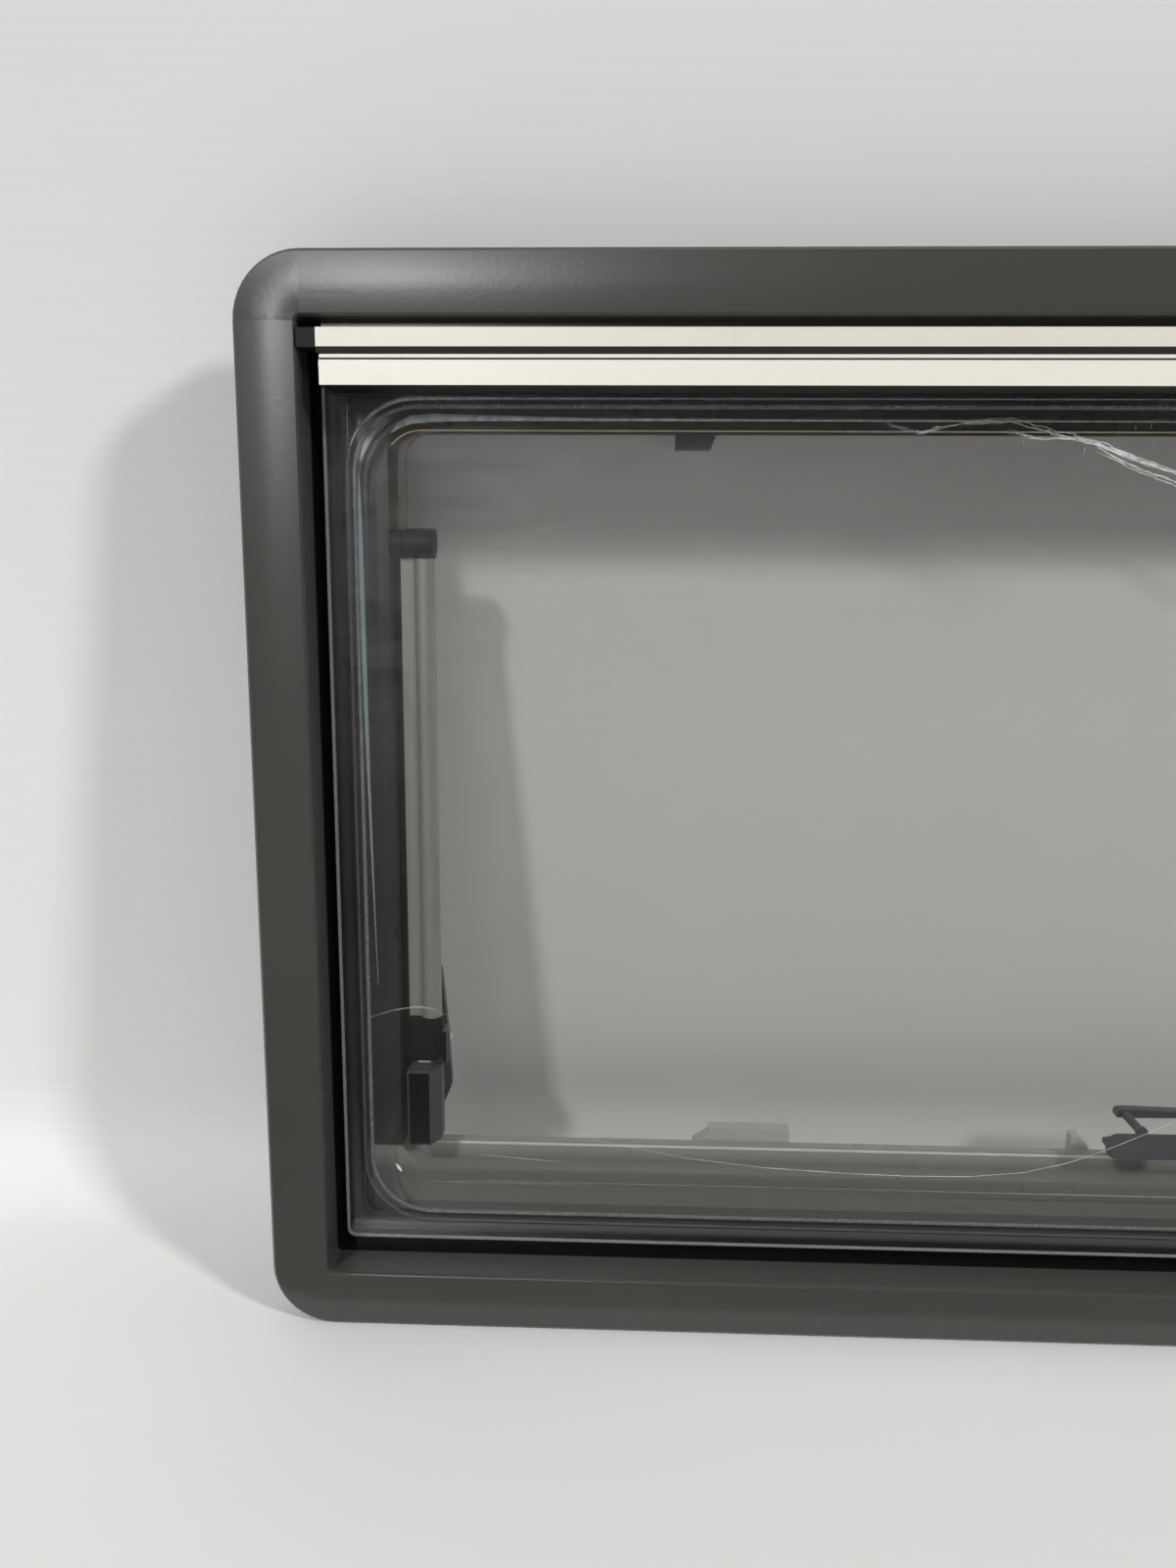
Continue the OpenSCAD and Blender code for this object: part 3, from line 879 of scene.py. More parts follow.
@dataclass
class Casing:
    """The fixed frame with its rail, plugs, seal, clips and keeper, in millimetres but for the edge."""

    edge: float = 0.5 * MM
    # Painted highlight: a pale bead along the top edge of the bottom rim.
    rim_bead: tuple[float, float, float, float] = (76.0, 74.4, 61.1, 0.95)
    lip_bead: tuple[float, float, float, float] = (40.0, 29.0, 1.3, 1.0)
    keeper_front: float = 66.1
    strip_back: float = 68.2
    strip_rises: tuple[float, float] = (67.2, 72.0)
    strip_reach: float = 29.0
    tab_back: float = 73.6
    tab_top: float = 84.4
    tab_slant: float = 7.0
    tab_sides: tuple[float, float, float] = (24.0, 29.4, 34.0)

    @staticmethod
    def bead(plan: Plan, name: str, sizes: tuple[float, float, float, float],
             finish: bpy.types.Material) -> bpy.types.Object:
        """Level bead along the bottom band.

        Args:
            plan: the frame's plan.
            name: the piece's name.
            sizes: margin of its ends, rise and depth of its centre line, and its radius.
            finish: its material.

        Returns:
            The bead.
        """
        (start, rise, depth, radius), steps = sizes, 40
        length = plan.width - 2 * start
        path = [plan.point(start + length * k / steps, rise, depth) for k in range(steps + 1)]
        form = Form()
        form.tube(path, [radius * MM * (1.0 if 0 < k < steps else 0.4) for k in range(steps + 1)], 12)
        return form.done(name, finish)

    def keeper(self, plan: Plan, finish: bpy.types.Material) -> bpy.types.Object:
        """Strip on the rear rim with two tabs whose inner sides slant.

        Args:
            plan: the frame's plan.
            finish: its material.

        Returns:
            The keeper.
        """
        form, middle, reach = Form(), plan.width / 2, self.strip_reach
        (low, high), (near, slant, far) = self.strip_rises, self.tab_sides
        outlines = [([(-reach, low), (reach, low), (reach, high), (-reach, high)], self.strip_back)]
        tab = ((far, low), (far, self.tab_top), (slant, self.tab_top), (near, self.tab_top - self.tab_slant),
               (near, low))
        for sign in (-1, 1):
            outlines.append(([(sign * across, rise) for across, rise in tab], self.tab_back))
        for outline, back in outlines:
            front = [plan.point(middle + across, rise, self.keeper_front) for across, rise in outline]
            form.prism(front, Vector((0.0, (back - self.keeper_front) * MM, 0.0)))
        form.soften(self.edge)
        return form.done("centre_keeper_form", finish)

    def dress(self, plan: Plan, packed: Packed, finishes: Finishes) -> None:
        """Finishes the nodes of the fixed frame.

        Args:
            plan: the frame's plan.
            packed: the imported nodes.
            finishes: the finishes.
        """
        # The rim bead is a painted highlight along the rim's top edge; the lip bead is plain moulding.
        packed.fasten(self.bead(plan, "rim_edge_bead", self.rim_bead, finishes.bright), "outer_frame")
        packed.fasten(self.bead(plan, "band_lip_bead", self.lip_bead, finishes.moulding), "outer_frame")
        packed.paint(finishes.moulding, "outer_frame")
        packed.paint(finishes.rubber, "sash_seal")
        packed.paint(finishes.rail, "frame_hinge_rail")
        packed.stand_in(self.keeper(plan, finishes.pale), "centre_keeper")
        for side in Side:
            packed.rounded_copy(f"hinge_end_plug_{side.word}", finishes.black, self.edge)
            packed.rounded_copy(f"lower_clip_{side.word}", finishes.pale, self.edge)
            # The upper clips take the dark grey that stands for their shade.
            packed.rounded_copy(f"upper_clip_{side.word}", finishes.grey, self.edge)


@dataclass
class Glazing:
    """The two bonded panes of the sash, in millimetres, with the marks on them: scratches, and painted
    highlights on ridges and edges.
    """

    outer: Margins = (34.5, 53.9, 36.0)
    outer_radius: float = 5.0
    outer_depths: tuple[float, float] = (25.0, 28.0)
    border: Margins = (36.0, 60.1, 37.5)
    border_radius: float = 3.5
    contour: Margins = (47.0, 62.0, 48.5)
    contour_radius: float = 33.0
    slope: float = 12.5
    lean: float = 1.5
    inner_front: float = 28.05
    inner_border_back: float = 30.5
    inner_floor_front: float = 39.5
    inner_back: float = 42.0
    polish: float = 0.7
    shoulder: float = 2.4
    sheen_centre: tuple[float, float] = (79.1, 439.5)
    low_line: tuple[float, float, float] = (96.0, 63.4, 39.1)
    cord_line: tuple[float, float, float] = (38.0, 476.2, 29.0)
    cord_radius: float = 1.15
    amber_radius: float = 0.42
    glint_rises: tuple[float, float] = (178.0, 440.0)

    def inset(self, plan: Plan, step: float, depth: float) -> list[Vector]:
        """Contour moved inward.

        Args:
            plan: the frame's plan.
            step: how far it moves, in millimetres.
            depth: depth of the contour.

        Returns:
            The contour's points.
        """
        side, top, low = self.contour
        return plan.outline((side + step, top + step, low + step), self.contour_radius - step, depth)

    def outer_pane(self, plan: Plan, finish: bpy.types.Material) -> bpy.types.Object:
        """Flat outer pane with polished edges.

        Args:
            plan: the frame's plan.
            finish: its material.

        Returns:
            The piece.
        """
        form = Form()
        front, back = self.outer_depths
        side, top, low = self.outer
        loops = []
        for depth, turn in ((front, 1), (back, -1)):
            for step in range(4):
                angle = math.radians(30 * step if turn > 0 else 90 - 30 * step)
                inward = self.polish * (1 - math.sin(angle))
                shift = self.polish * (1 - math.cos(angle)) * turn
                margins = (side + inward, top + inward, low + inward)
                loops.append(plan.outline(margins, self.outer_radius - inward, depth + shift))
        form.loft(loops)
        return form.done("outer_pane_form", finish)

    def inner_pane(self, plan: Plan, finish: bpy.types.Material) -> bpy.types.Object:
        """Formed inner pane: a bonded border, a sloping wall and a raised floor.

        Args:
            plan: the frame's plan.
            finish: its material.

        Returns:
            The piece.
        """
        form = Form()
        deep = self.slope + self.lean
        front = filleted([(deep + 4.0, self.inner_floor_front), (deep, self.inner_floor_front),
                          (self.lean, self.inner_front), (-6.0, self.inner_front)], self.shoulder)
        back = filleted([(-6.0, self.inner_border_back), (0.0, self.inner_border_back),
                         (self.slope, self.inner_back), (deep + 4.0, self.inner_back)], self.shoulder)
        loops = [self.inset(plan, step, depth) for step, depth in front]
        loops += [plan.outline(self.border, self.border_radius, depth)
                  for depth in (self.inner_front, self.inner_border_back)]
        loops += [self.inset(plan, step, depth) for step, depth in back]
        form.loft(loops)
        return form.done("inner_pane_form", finish)

    @staticmethod
    def rib(plan: Plan, name: str, margins: Margins, corner: float, depth: float, radius: float,
            finish: bpy.types.Material) -> bpy.types.Object:
        """Thin ridge that runs round the panes.

        Args:
            plan: the frame's plan.
            name: the piece's name.
            margins: side, top and bottom distance of its centre line from the frame's edges.
            corner: radius of its corners.
            depth: depth of the ridge.
            radius: radius of the ridge.
            finish: its material.

        Returns:
            The ridge.
        """
        form = Form()
        path = plan.outline(margins, corner, depth)
        form.tube(path, [radius * MM] * len(path), closed=True)
        return form.done(name, finish)

    @staticmethod
    def stroke(plan: Plan, form: Form, marks: Sequence[tuple[float, float, float, float]]) -> None:
        """Adds a tapering stroke to a mesh.

        Args:
            plan: the frame's plan.
            form: the mesh to add to.
            marks: margin, rise, depth and radius of its corners.
        """
        path = [plan.point(margin, rise, depth) for margin, rise, depth, _ in marks]
        form.tube(path, [radius * MM for *_, radius in marks], 8)

    def sheen(self, plan: Plan, finish: bpy.types.Material) -> bpy.types.Object:
        """Bright streaks on the slope's top left corner and along its top.

        Args:
            plan: the frame's plan.
            finish: their material.

        Returns:
            The streaks in one piece.
        """
        form = Form()
        self.stroke(plan, form, (
            (66, 459.0, 34.6, 0.3), (70, 462.4, 34.4, 1.3), (76, 465.0, 34.2, 2.0),
            (86, 465.9, 34.2, 2.0), (100, 465.9, 34.3, 1.6), (125, 465.7, 34.5, 1.2),
            (160, 465.4, 34.8, 0.8), (260, 465.2, 35.0, 0.5), (420, 465.0, 35.0, 0.35),
            (560, 465.0, 35.0, 0.2)))
        middle, rise = self.sheen_centre
        arc = []
        for step in range(15):
            angle = math.radians(158 - 68 * step / 14)
            swell = math.sin(math.pi * min(step / 16, 0.5))
            arc.append((middle + 35 * math.cos(angle), rise + 35 * math.sin(angle), 30.2,
                        0.25 + 0.75 * swell))
        self.stroke(plan, form, (*arc, (96, 474.5, 30.2, 0.8), (130, 474.5, 30.2, 0.5),
                                 (230, 474.5, 30.2, 0.25), (500, 474.5, 30.2, 0.2)))
        arc = []
        for step in range(9):
            angle = math.radians(168 - 36 * step / 8)
            swell = math.sin(math.pi * step / 8)
            arc.append((middle + 28.5 * math.cos(angle), rise + 28.5 * math.sin(angle), 32.2,
                        0.2 + 1.1 * swell))
        self.stroke(plan, form, arc)
        return form.done("contour_sheen", finish)

    def level_line(self, plan: Plan, name: str, line: tuple[float, float, float], radii: Sequence[float],
                   finish: bpy.types.Material) -> bpy.types.Object:
        """Level line from one side of the panes to the other.

        Args:
            plan: the frame's plan.
            name: the piece's name.
            line: margin of its ends, rise and depth.
            radii: its radii at even steps.
            finish: its material.

        Returns:
            The line.
        """
        form, (margin, rise, depth), steps = Form(), line, len(radii) - 1
        length = plan.width - 2 * margin
        self.stroke(plan, form, [(margin + length * k / steps, rise, depth, radius)
                                 for k, radius in enumerate(radii)])
        return form.done(name, finish)

    def low_edge(self, plan: Plan, finish: bpy.types.Material) -> bpy.types.Object:
        """Painted highlight: a fine pale line along the foot of the slope.

        Args:
            plan: the frame's plan.
            finish: its material.

        Returns:
            The piece.
        """
        radii = [0.12 + 0.20 * min(max((k - 9) / 5, 0.0), 1.0) for k in range(31)]
        return self.level_line(plan, "contour_low_edge", self.low_line, radii, finish)

    def top_cord(self, plan: Plan, finish: bpy.types.Material) -> bpy.types.Object:
        """Dark cord along the top edge of the inner pane, which covers the edge's pale top face.

        Args:
            plan: the frame's plan.
            finish: its material.

        Returns:
            The piece.
        """
        return self.level_line(plan, "inner_pane_cord", self.cord_line, [self.cord_radius] * 31, finish)

    def amber_edge(self, plan: Plan, finish: bpy.types.Material) -> bpy.types.Object:
        """Painted highlight: a fine warm line along the top of the slope's inner edge.

        Args:
            plan: the frame's plan.
            finish: its material.

        Returns:
            The piece.
        """
        loop = self.inset(plan, self.slope + 0.9, self.inner_floor_front - 0.25)
        corner = len(loop) // 4
        path = loop[corner // 2:corner + corner // 2 + 2]
        form = Form()
        form.tube(path, [self.amber_radius * MM] * len(path))
        return form.done("contour_amber_edge", finish)

    def side_glint(self, plan: Plan, finish: bpy.types.Material) -> bpy.types.Object:
        """Pale streak along the outer shoulder of the left slope, thin at both ends.

        Args:
            plan: the frame's plan.
            finish: its material.

        Returns:
            The piece.
        """
        (low, high), steps = self.glint_rises, 24
        rises = [low + (high - low) * k / steps for k in range(steps + 1)]
        path = [plan.point(50.3 + 3.4 * ((high - rise) / (high - low)) ** 2, rise, 30.6) for rise in rises]
        form = Form()
        form.tube(path, [(0.15 + 1.25 * math.sin(math.pi * (k / steps) ** 2.6) ** 0.5) * MM
                         for k in range(steps + 1)], 8)
        return form.done("contour_side_glint", finish)

    def dress(self, plan: Plan, packed: Packed, finishes: Finishes) -> None:
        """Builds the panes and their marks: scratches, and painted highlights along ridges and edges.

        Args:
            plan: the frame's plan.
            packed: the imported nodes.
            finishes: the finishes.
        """
        packed.fasten(self.side_glint(plan, finishes.glint), "inner_pane")
        packed.stand_in(self.outer_pane(plan, finishes.outer_pane), "outer_pane")
        packed.stand_in(self.inner_pane(plan, finishes.inner_pane), "inner_pane")
        # Painted highlight along the outer pane's edge, on a thin ridge.
        packed.fasten(self.rib(plan, "pane_edge_line", (35.4, 54.8, 37.2), 4.2, 25.6, 0.9, finishes.faint),
                      "outer_pane")
        # The contour ridges are real, and their pale colour is a painted highlight.
        packed.fasten(self.rib(plan, "contour_ridge_outer", (44.3, 61.3, 44.3), 35.0, 31.1, 0.70,
                               finishes.faint), "inner_pane")
        packed.fasten(self.rib(plan, "contour_ridge_inner", (48.0, 65.2, 49.1), 31.5, 31.6, 1.00,
                               finishes.bead), "inner_pane")
        packed.fasten(self.sheen(plan, finishes.sheen), "inner_pane")
        packed.fasten(self.low_edge(plan, finishes.bead), "inner_pane")
        packed.fasten(self.top_cord(plan, finishes.rubber), "inner_pane")
        packed.fasten(self.amber_edge(plan, finishes.amber), "inner_pane")
        packed.fasten(Scratches().build(plan, finishes.scratch), "outer_pane")
        # The sash rail takes the lighter copy of the rail paint, as painted light.
        packed.paint(finishes.sash_rail, "sash_hinge_rail")


@dataclass
class Scratches:
    """Scratches and chips in the outer pane, and one painted highlight, as raised threads given by margin and
    rise.
    """

    depth: float = 25.0
    long_lines: tuple[tuple[tuple[float, float], ...], ...] = (
        ((150, 101.2), (175.3, 94.6), (217, 86.8), (258.6, 82.4), (299.9, 80.4), (333, 79.6), (366.8, 80.2),
         (394.3, 83.2), (417, 89.2), (436.2, 97), (453, 105.2), (470.4, 114), (494, 127), (520, 141)),
        ((50.3, 162.1), (61.8, 166.1), (74.7, 168.5), (82.4, 167.6), (90.6, 164)),
        # The short thick third line is a painted highlight: the small reflection at the bottom left corner of
        # the slope.
        ((61.9, 79.9), (65, 75.4)),
        ((108, 86), (150, 83)),
    )
    long_radii: tuple[float, ...] = (0.14, 0.13, 0.8, 0.10)
    gouges: tuple[tuple[tuple[float, float], ...], ...] = (
        ((340.3, 462.8), (360.7, 464.6), (381.6, 459.3), (402.5, 454.1), (421.3, 447), (440, 440.8),
         (470, 432)),
        ((360.8, 459), (375, 455.8), (393.2, 456.3), (411.9, 449.6), (433, 442.5), (462, 436)),
        ((402, 452), (421, 443), (436, 438), (455, 430)),
        ((303.6, 462.7), (319.6, 459), (330, 461.5), (352, 465)),
    )
    strands: int = 3
    ticks: int = 26
    seed: int = 11

    def line(self, form: Form, plan: Plan, marks: Sequence[tuple[float, float]], radius: float,
             jitter: float, draw: random.Random) -> None:
        """Adds one thread that tapers at both ends.

        Args:
            form: the mesh to add to.
            plan: the frame's plan.
            marks: margin and rise of its corners.
            radius: its radius in millimetres.
            jitter: how far its points stray, in millimetres.
            draw: the random source.
        """
        count = 7 * (len(marks) - 1)
        path, radii = [], []
        for k in range(count + 1):
            share = k / count * (len(marks) - 1)
            leg = min(int(share), len(marks) - 2)
            near, far = marks[leg], marks[leg + 1]
            part = share - leg
            part = part if len(marks) < 4 else part * part * (3 - 2 * part) * 0.25 + part * 0.75
            stray = [draw.uniform(-jitter, jitter) for _ in range(2)]
            path.append(plan.point(near[0] + (far[0] - near[0]) * part + stray[0],
                                   near[1] + (far[1] - near[1]) * part + stray[1], self.depth - 0.02))
            swell = 0.25 + 0.75 * math.sin(math.pi * (k + 0.3) / (count + 0.6))
            radii.append(radius * swell * MM * (draw.uniform(0.6, 1.4) if jitter else 1.0))
        form.tube(path, radii, 5)

    def build(self, plan: Plan, finish: bpy.types.Material) -> bpy.types.Object:
        """Draws every scratch into one piece.

        Args:
            plan: the frame's plan.
            finish: the scratches' material.

        Returns:
            The piece.
        """
        draw = random.Random(self.seed)
        form = Form()
        for marks, radius in zip(self.long_lines, self.long_radii):
            self.line(form, plan, marks, radius, 0.0, draw)
        for marks in self.gouges:
            for _ in range(self.strands):
                shift = draw.uniform(-1.6, 1.6)
                moved = [(margin, rise + shift) for margin, rise in marks]
                self.line(form, plan, moved, draw.uniform(0.16, 0.42), 0.55, draw)
        for _ in range(self.ticks):
            margin, rise = draw.uniform(290, 620), draw.uniform(452, 466)
            reach = draw.uniform(1.5, 5.0)
            marks = ((margin, rise), (margin + draw.uniform(-0.4, 0.4), rise - reach))
            self.line(form, plan, marks, draw.uniform(0.07, 0.16), 0.0, draw)
        return form.done("pane_scratches", finish)


@dataclass
class Stay:
    """One telescopic stay with its head, tube, rod, socket and ear."""

    side: Side
    edge: float = 0.6 * MM
    pivot_rise: float = 141.0
    pivot_depth: float = 53.0
    rivet_radius: float = 2.3
    head_rise: float = 406.5

    def rivet(self, plan: Plan, finish: bpy.types.Material) -> bpy.types.Object:
        """Domed rivet head on the pin beside the ear.

        Args:
            plan: the frame's plan.
            finish: its material.

        Returns:
            The rivet.
        """
        low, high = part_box(f"stay_foot_{self.side.word}")
        pin_end = 4.0 * MM
        start = low.x + pin_end * 0.7 if self.side is Side.LEFT else high.x - pin_end * 0.7
        out = -self.side.value
        middle = plan.point(0.0, self.pivot_rise, self.pivot_depth)
        form, loops = Form(), []
        for rise, share in ((0.0, 1.0), (0.5, 1.0), (0.9, 0.85), (1.15, 0.55), (1.25, 0.2)):
            ring = []
            for k in range(20):
                angle = math.tau * k / 20
                reach = self.rivet_radius * share * MM
                ring.append(Vector((start + out * rise * MM, middle.y + reach * math.cos(angle),
                                    middle.z + reach * math.sin(angle))))
            loops.append(ring)
        form.loft(loops)
        return form.done(f"stay_rivet_{self.side.word}", finish)

    def stub(self, plan: Plan, finish: bpy.types.Material) -> bpy.types.Object:
        """Stub on the reveal that carries the head, with its pin.

        Args:
            plan: the frame's plan.
            finish: its material.

        Returns:
            The stub.
        """
        form, loops = Form(), []
        for margin, radius in ((61.0, 7.0), (67.2, 7.0), (67.6, 6.6), (67.6, 2.9), (76.8, 2.9), (77.2, 2.5)):
            loops.append([self.across(plan, margin, self.head_rise + radius * math.sin(a),
                                      self.pivot_depth + radius * math.cos(a))
                          for a in (math.tau * k / 32 for k in range(32))])
        form.loft(loops)
        return form.done(f"stay_mount_{self.side.word}_form", finish)

    def collar(self, plan: Plan, finish: bpy.types.Material) -> bpy.types.Object:
        """Upper end of the tube, which closes the gap to the head.

        Args:
            plan: the frame's plan.
            finish: its material.

        Returns:
            The collar.
        """
        form, low, high = Form(), self.head_rise - 14.6, self.head_rise - 7.8
        form.loft([[self.across(plan, 78.0 + 5.6 * math.sin(a), rise, self.pivot_depth + 5.6 * math.cos(a))
                    for a in (math.tau * k / 32 for k in range(32))] for rise in (low, high)])
        form.loft([[self.across(plan, margin, rise, depth) for margin, depth in (
            (65.9, 52.0), (74.3, 52.0), (74.3, 54.0), (65.9, 54.0))] for rise in (low, high)])
        return form.done(f"stay_collar_{self.side.word}", finish)

    def across(self, plan: Plan, margin: float, rise: float, depth: float) -> Vector:
        """Point given by its margin from the stay's own side of the frame.

        Args:
            plan: the frame's plan.
            margin: distance from that side.
            rise: height above the bottom edge.
            depth: distance behind the front plane.

        Returns:
            The point in metres.
        """
        return plan.point(margin if self.side is Side.LEFT else plan.width - margin, rise, depth)

    def block(self, plan: Plan, section: Sequence[tuple[float, float]], front: float, back: float,
              form: Form) -> None:
        """Adds a block that runs in depth.

        Args:
            plan: the frame's plan.
            section: margin and rise of its corners.
            front: depth of its front.
            back: depth of its back.
            form: the mesh to add to.
        """
        outline = [self.across(plan, margin, rise, front) for margin, rise in section]
        form.prism(outline, Vector((0.0, (back - front) * MM, 0.0)))

    def socket(self, plan: Plan, finish: bpy.types.Material) -> bpy.types.Object:
        """Socket at the foot: a block with a slanted foot and an arched front plate.

        Args:
            plan: the frame's plan.
            finish: its material.

        Returns:
            The socket.
        """
        form = Form()
        self.block(plan, ((66.2, 152.3), (83.8, 152.3), (83.8, 130.5), (81.0, 128.4), (69.5, 128.4),
                          (66.2, 132.0)), 47.6, 58.4, form)
        arch = [(75.6 + 5.6 * math.cos(a), 141.0 + 5.6 * math.sin(a))
                for a in (math.pi * k / 12 for k in range(13))]
        self.block(plan, [(81.2, 129.4), *arch, (70.0, 129.4)], 46.9, 48.2, form)
        form.soften(0.5 * MM)
        for section in (((73.0, 146.0), (75.2, 146.0), (75.2, 146.6), (73.0, 146.6)),
                        ((75.8, 146.0), (77.9, 146.0), (77.9, 146.6), (75.8, 146.6)),
                        ((72.8, 133.2), (73.4, 133.2), (73.4, 139.4), (72.8, 139.4))):
            self.block(plan, section, 46.75, 47.2, form)
        return form.done(f"stay_socket_{self.side.word}_form", finish)

    def foot(self, plan: Plan, finish: bpy.types.Material) -> bpy.types.Object:
        """Ear that stands on the inner pane, with a narrow foot.

        Args:
            plan: the frame's plan.
            finish: its material.

        Returns:
            The ear.
        """
        form = Form()
        low, high, start = 129.0, 149.0, 85.0
        for width, profile in (
            (2.5, ((42.1, low), (42.1, high), (50.0, high), (55.5, 146.5), (57.5, 141.0), (55.5, 133.0),
                   (50.0, low))),
            (4.2, ((42.1, low + 1), (42.1, high - 1), (44.2, high - 1), (44.2, low + 1))),
        ):
            outline = [self.across(plan, start, rise, depth) for depth, rise in profile]
            form.prism(outline, self.across(plan, start + width, 0, 0) - self.across(plan, start, 0, 0))
        form.soften(0.4 * MM)
        return form.done(f"stay_foot_{self.side.word}_form", finish)

    def dress(self, plan: Plan, packed: Packed, finishes: Finishes) -> None:
        """Finishes the stay's nodes.

        Args:
            plan: the frame's plan.
            packed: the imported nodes.
            finishes: the finishes.
        """
        word = self.side.word
        packed.fasten(self.rivet(plan, finishes.rivet), f"stay_foot_{word}")
        packed.rounded_copy(f"stay_head_{word}", finishes.black, self.edge)
        packed.stand_in(self.socket(plan, finishes.black), f"stay_socket_{word}")
        packed.stand_in(self.foot(plan, finishes.dark), f"stay_foot_{word}")
        packed.stand_in(self.stub(plan, finishes.black), f"stay_mount_{word}")
        packed.fasten(self.collar(plan, finishes.metal), f"stay_tube_{word}")
        packed.paint(finishes.metal, f"stay_tube_{word}", f"stay_rod_{word}")


@dataclass
class Latch:
    """One turning latch: a stepped base on the inner pane with a black pad, and a lever."""

    word: str
    margin: float
    rise: float
    lying: bool = False
    mirrored: bool = False
    edge: float = 0.8 * MM
    wide_left: float = 11.7
    wide_right: float = 6.8
    half_length: float = 21.6
    front: float = 42.6
    step_depth: float = 47.5
    back: float = 56.0
    pad_side: float = 5.2
    end_radius: float = 4.6
    lever_depths: tuple[float, float] = (78.0, 84.0)
    lever_line: tuple[tuple[float, float], ...] = (
        (1.6, 68.2), (2.5, 67.2), (3.4, 58.0), (5.2, 38.0), (6.8, 12.0), (7.4, 1.0), (7.0, -3.0),
        (3.6, -11.5), (2.0, -13.6), (-2.0, -13.6), (-4.6, -10.0), (-5.2, 0.0), (-4.6, 20.0), (-2.6, 50.0),
        (-0.6, 67.2), (0.4, 68.2))
    lever_share: float = 1.0
    tail: float = -20.0
    pin_radius: float = 4.0
    boss_radius: float = 5.5
    boss_back: float = 58.0

    def at(self, plan: Plan, across: float, along: float, depth: float) -> Vector:
        """Point of the latch, given across and along it.

        Args:
            plan: the frame's plan.
            across: distance to the right of an upright latch.
            along: distance above its spindle.
            depth: depth behind the front plane.

        Returns:
            The point in metres.
        """
        if self.mirrored:
            across = -across
        if self.lying:
            across, along = along, -across
        return plan.point(self.margin + across, self.rise + along, depth)

    def post(self, plan: Plan, form: Form, section: Sequence[tuple[float, float]], sides: int) -> None:
        """Adds a round post about the spindle's line.

        Args:
            plan: the frame's plan.
            form: the mesh to add to.
            section: radius and depth at each of its rings.
            sides: sides of the post.
        """
        turns = [math.tau * k / sides for k in range(sides)]
        form.loft([[self.at(plan, radius * math.cos(a), radius * math.sin(a), depth) for a in turns]
                   for radius, depth in section])

    def outline(self, plan: Plan, shrink: float, right: float, depth: float) -> list[Vector]:
        """Outline of the base with a squarer top and a rounder foot.

        Args:
            plan: the frame's plan.
            shrink: how far it lies inside the full base.
            right: how much more its right side is set in.
            depth: depth of the outline.

        Returns:
            The outline's points.
        """
        wide, long = self.wide_left - shrink, self.half_length - shrink
        reach = self.wide_right - right - shrink
        foot = self.end_radius if self.lying or right < 1.0 else 1.2
        heel = self.end_radius if self.lying else 1.6
        corners = ((reach, long, 1.2, 0, 1), (-wide, long, 1.2, 90, -1), (-wide, -long, heel, 180, -1),
                   (reach, -long, foot, 270, 1))
        points = []
        for across, along, radius, start, sign in corners:
            radius = max(radius - shrink, 0.3)
            centre = (across - sign * radius, along - math.copysign(radius, along))
            for step in range(7):
                angle = math.radians(start + 15 * step)
                points.append(self.at(plan, centre[0] + radius * math.cos(angle),
                                      centre[1] + radius * math.sin(angle), depth))
        return points

    def base(self, plan: Plan, finish: bpy.types.Material) -> bpy.types.Object:
        """Stepped body that stands on the inner pane.

        Args:
            plan: the frame's plan.
            finish: its material.

        Returns:
            The body.
        """
        form = Form()
        near, far, set_in = (0.0, 4.6, 3.0) if self.lying else (self.pad_side, 0.0, 0.0)
        form.loft([
            self.outline(plan, 0.5, near, self.front),
            self.outline(plan, 0.15, near, self.front + 0.15),
            self.outline(plan, 0.0, near, self.front + 0.6),
            self.outline(plan, set_in, max(far, 0.6), self.step_depth - 0.6),
            self.outline(plan, set_in, far, self.step_depth + 0.4),
            self.outline(plan, set_in, far, self.back - 0.8),
            self.outline(plan, set_in + 0.25, far, self.back - 0.25),
            self.outline(plan, set_in + 0.8, far, self.back),
        ])
        boss = self.boss_radius
        self.post(plan, form, ((boss, self.back - 0.5), (boss, self.boss_back - 0.4),
                               (boss - 0.4, self.boss_back)), 32)
        return form.done(f"latch_base_{self.word}_form", finish)

    def pad(self, plan: Plan, finish: bpy.types.Material) -> bpy.types.Object:
        """Black pad between the base and the pane.

        Args:
            plan: the frame's plan.
            finish: its material.

        Returns:
            The pad.
        """
        form = Form()
        near = 0.0 if self.lying else self.pad_side
        form.loft([self.outline(plan, shrink, near, self.front + shift)
                   for shrink, shift in ((1.5, -0.55), (1.2, -0.35), (1.2, 0.2))])
        return form.done(f"latch_pad_{self.word}", finish)

    def lever(self, plan: Plan, finish: bpy.types.Material) -> bpy.types.Object:
        """Wedge-shaped lever on its spindle.

        Args:
            plan: the frame's plan.
            finish: its material.

        Returns:
            The lever.
        """
        front, back = self.lever_depths
        form = Form()
        form.prism([self.at(plan, across * self.lever_share, max(along, self.tail + along * 0.1), front)
                    for across, along in self.lever_line], Vector((0.0, (back - front) * MM, 0.0)))
        form.soften(self.edge)
        pin = self.pin_radius
        self.post(plan, form, ((pin, self.boss_back + 0.3), (pin, front + 0.5)), 24)
        return form.done(f"latch_lever_{self.word}_form", finish)

    def dress(self, plan: Plan, packed: Packed, finishes: Finishes) -> None:
        """Builds the base with its pad, and the lever.

        Args:
            plan: the frame's plan.
            packed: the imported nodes.
            finishes: the finishes.
        """
        body, pad = (finishes.slab, finishes.slab) if self.lying else (finishes.dark, finishes.pad)
        packed.stand_in(self.base(plan, body), f"latch_base_{self.word}")
        packed.fasten(self.pad(plan, pad), f"latch_base_{self.word}")
        packed.stand_in(self.lever(plan, finishes.dark), f"latch_lever_{self.word}")


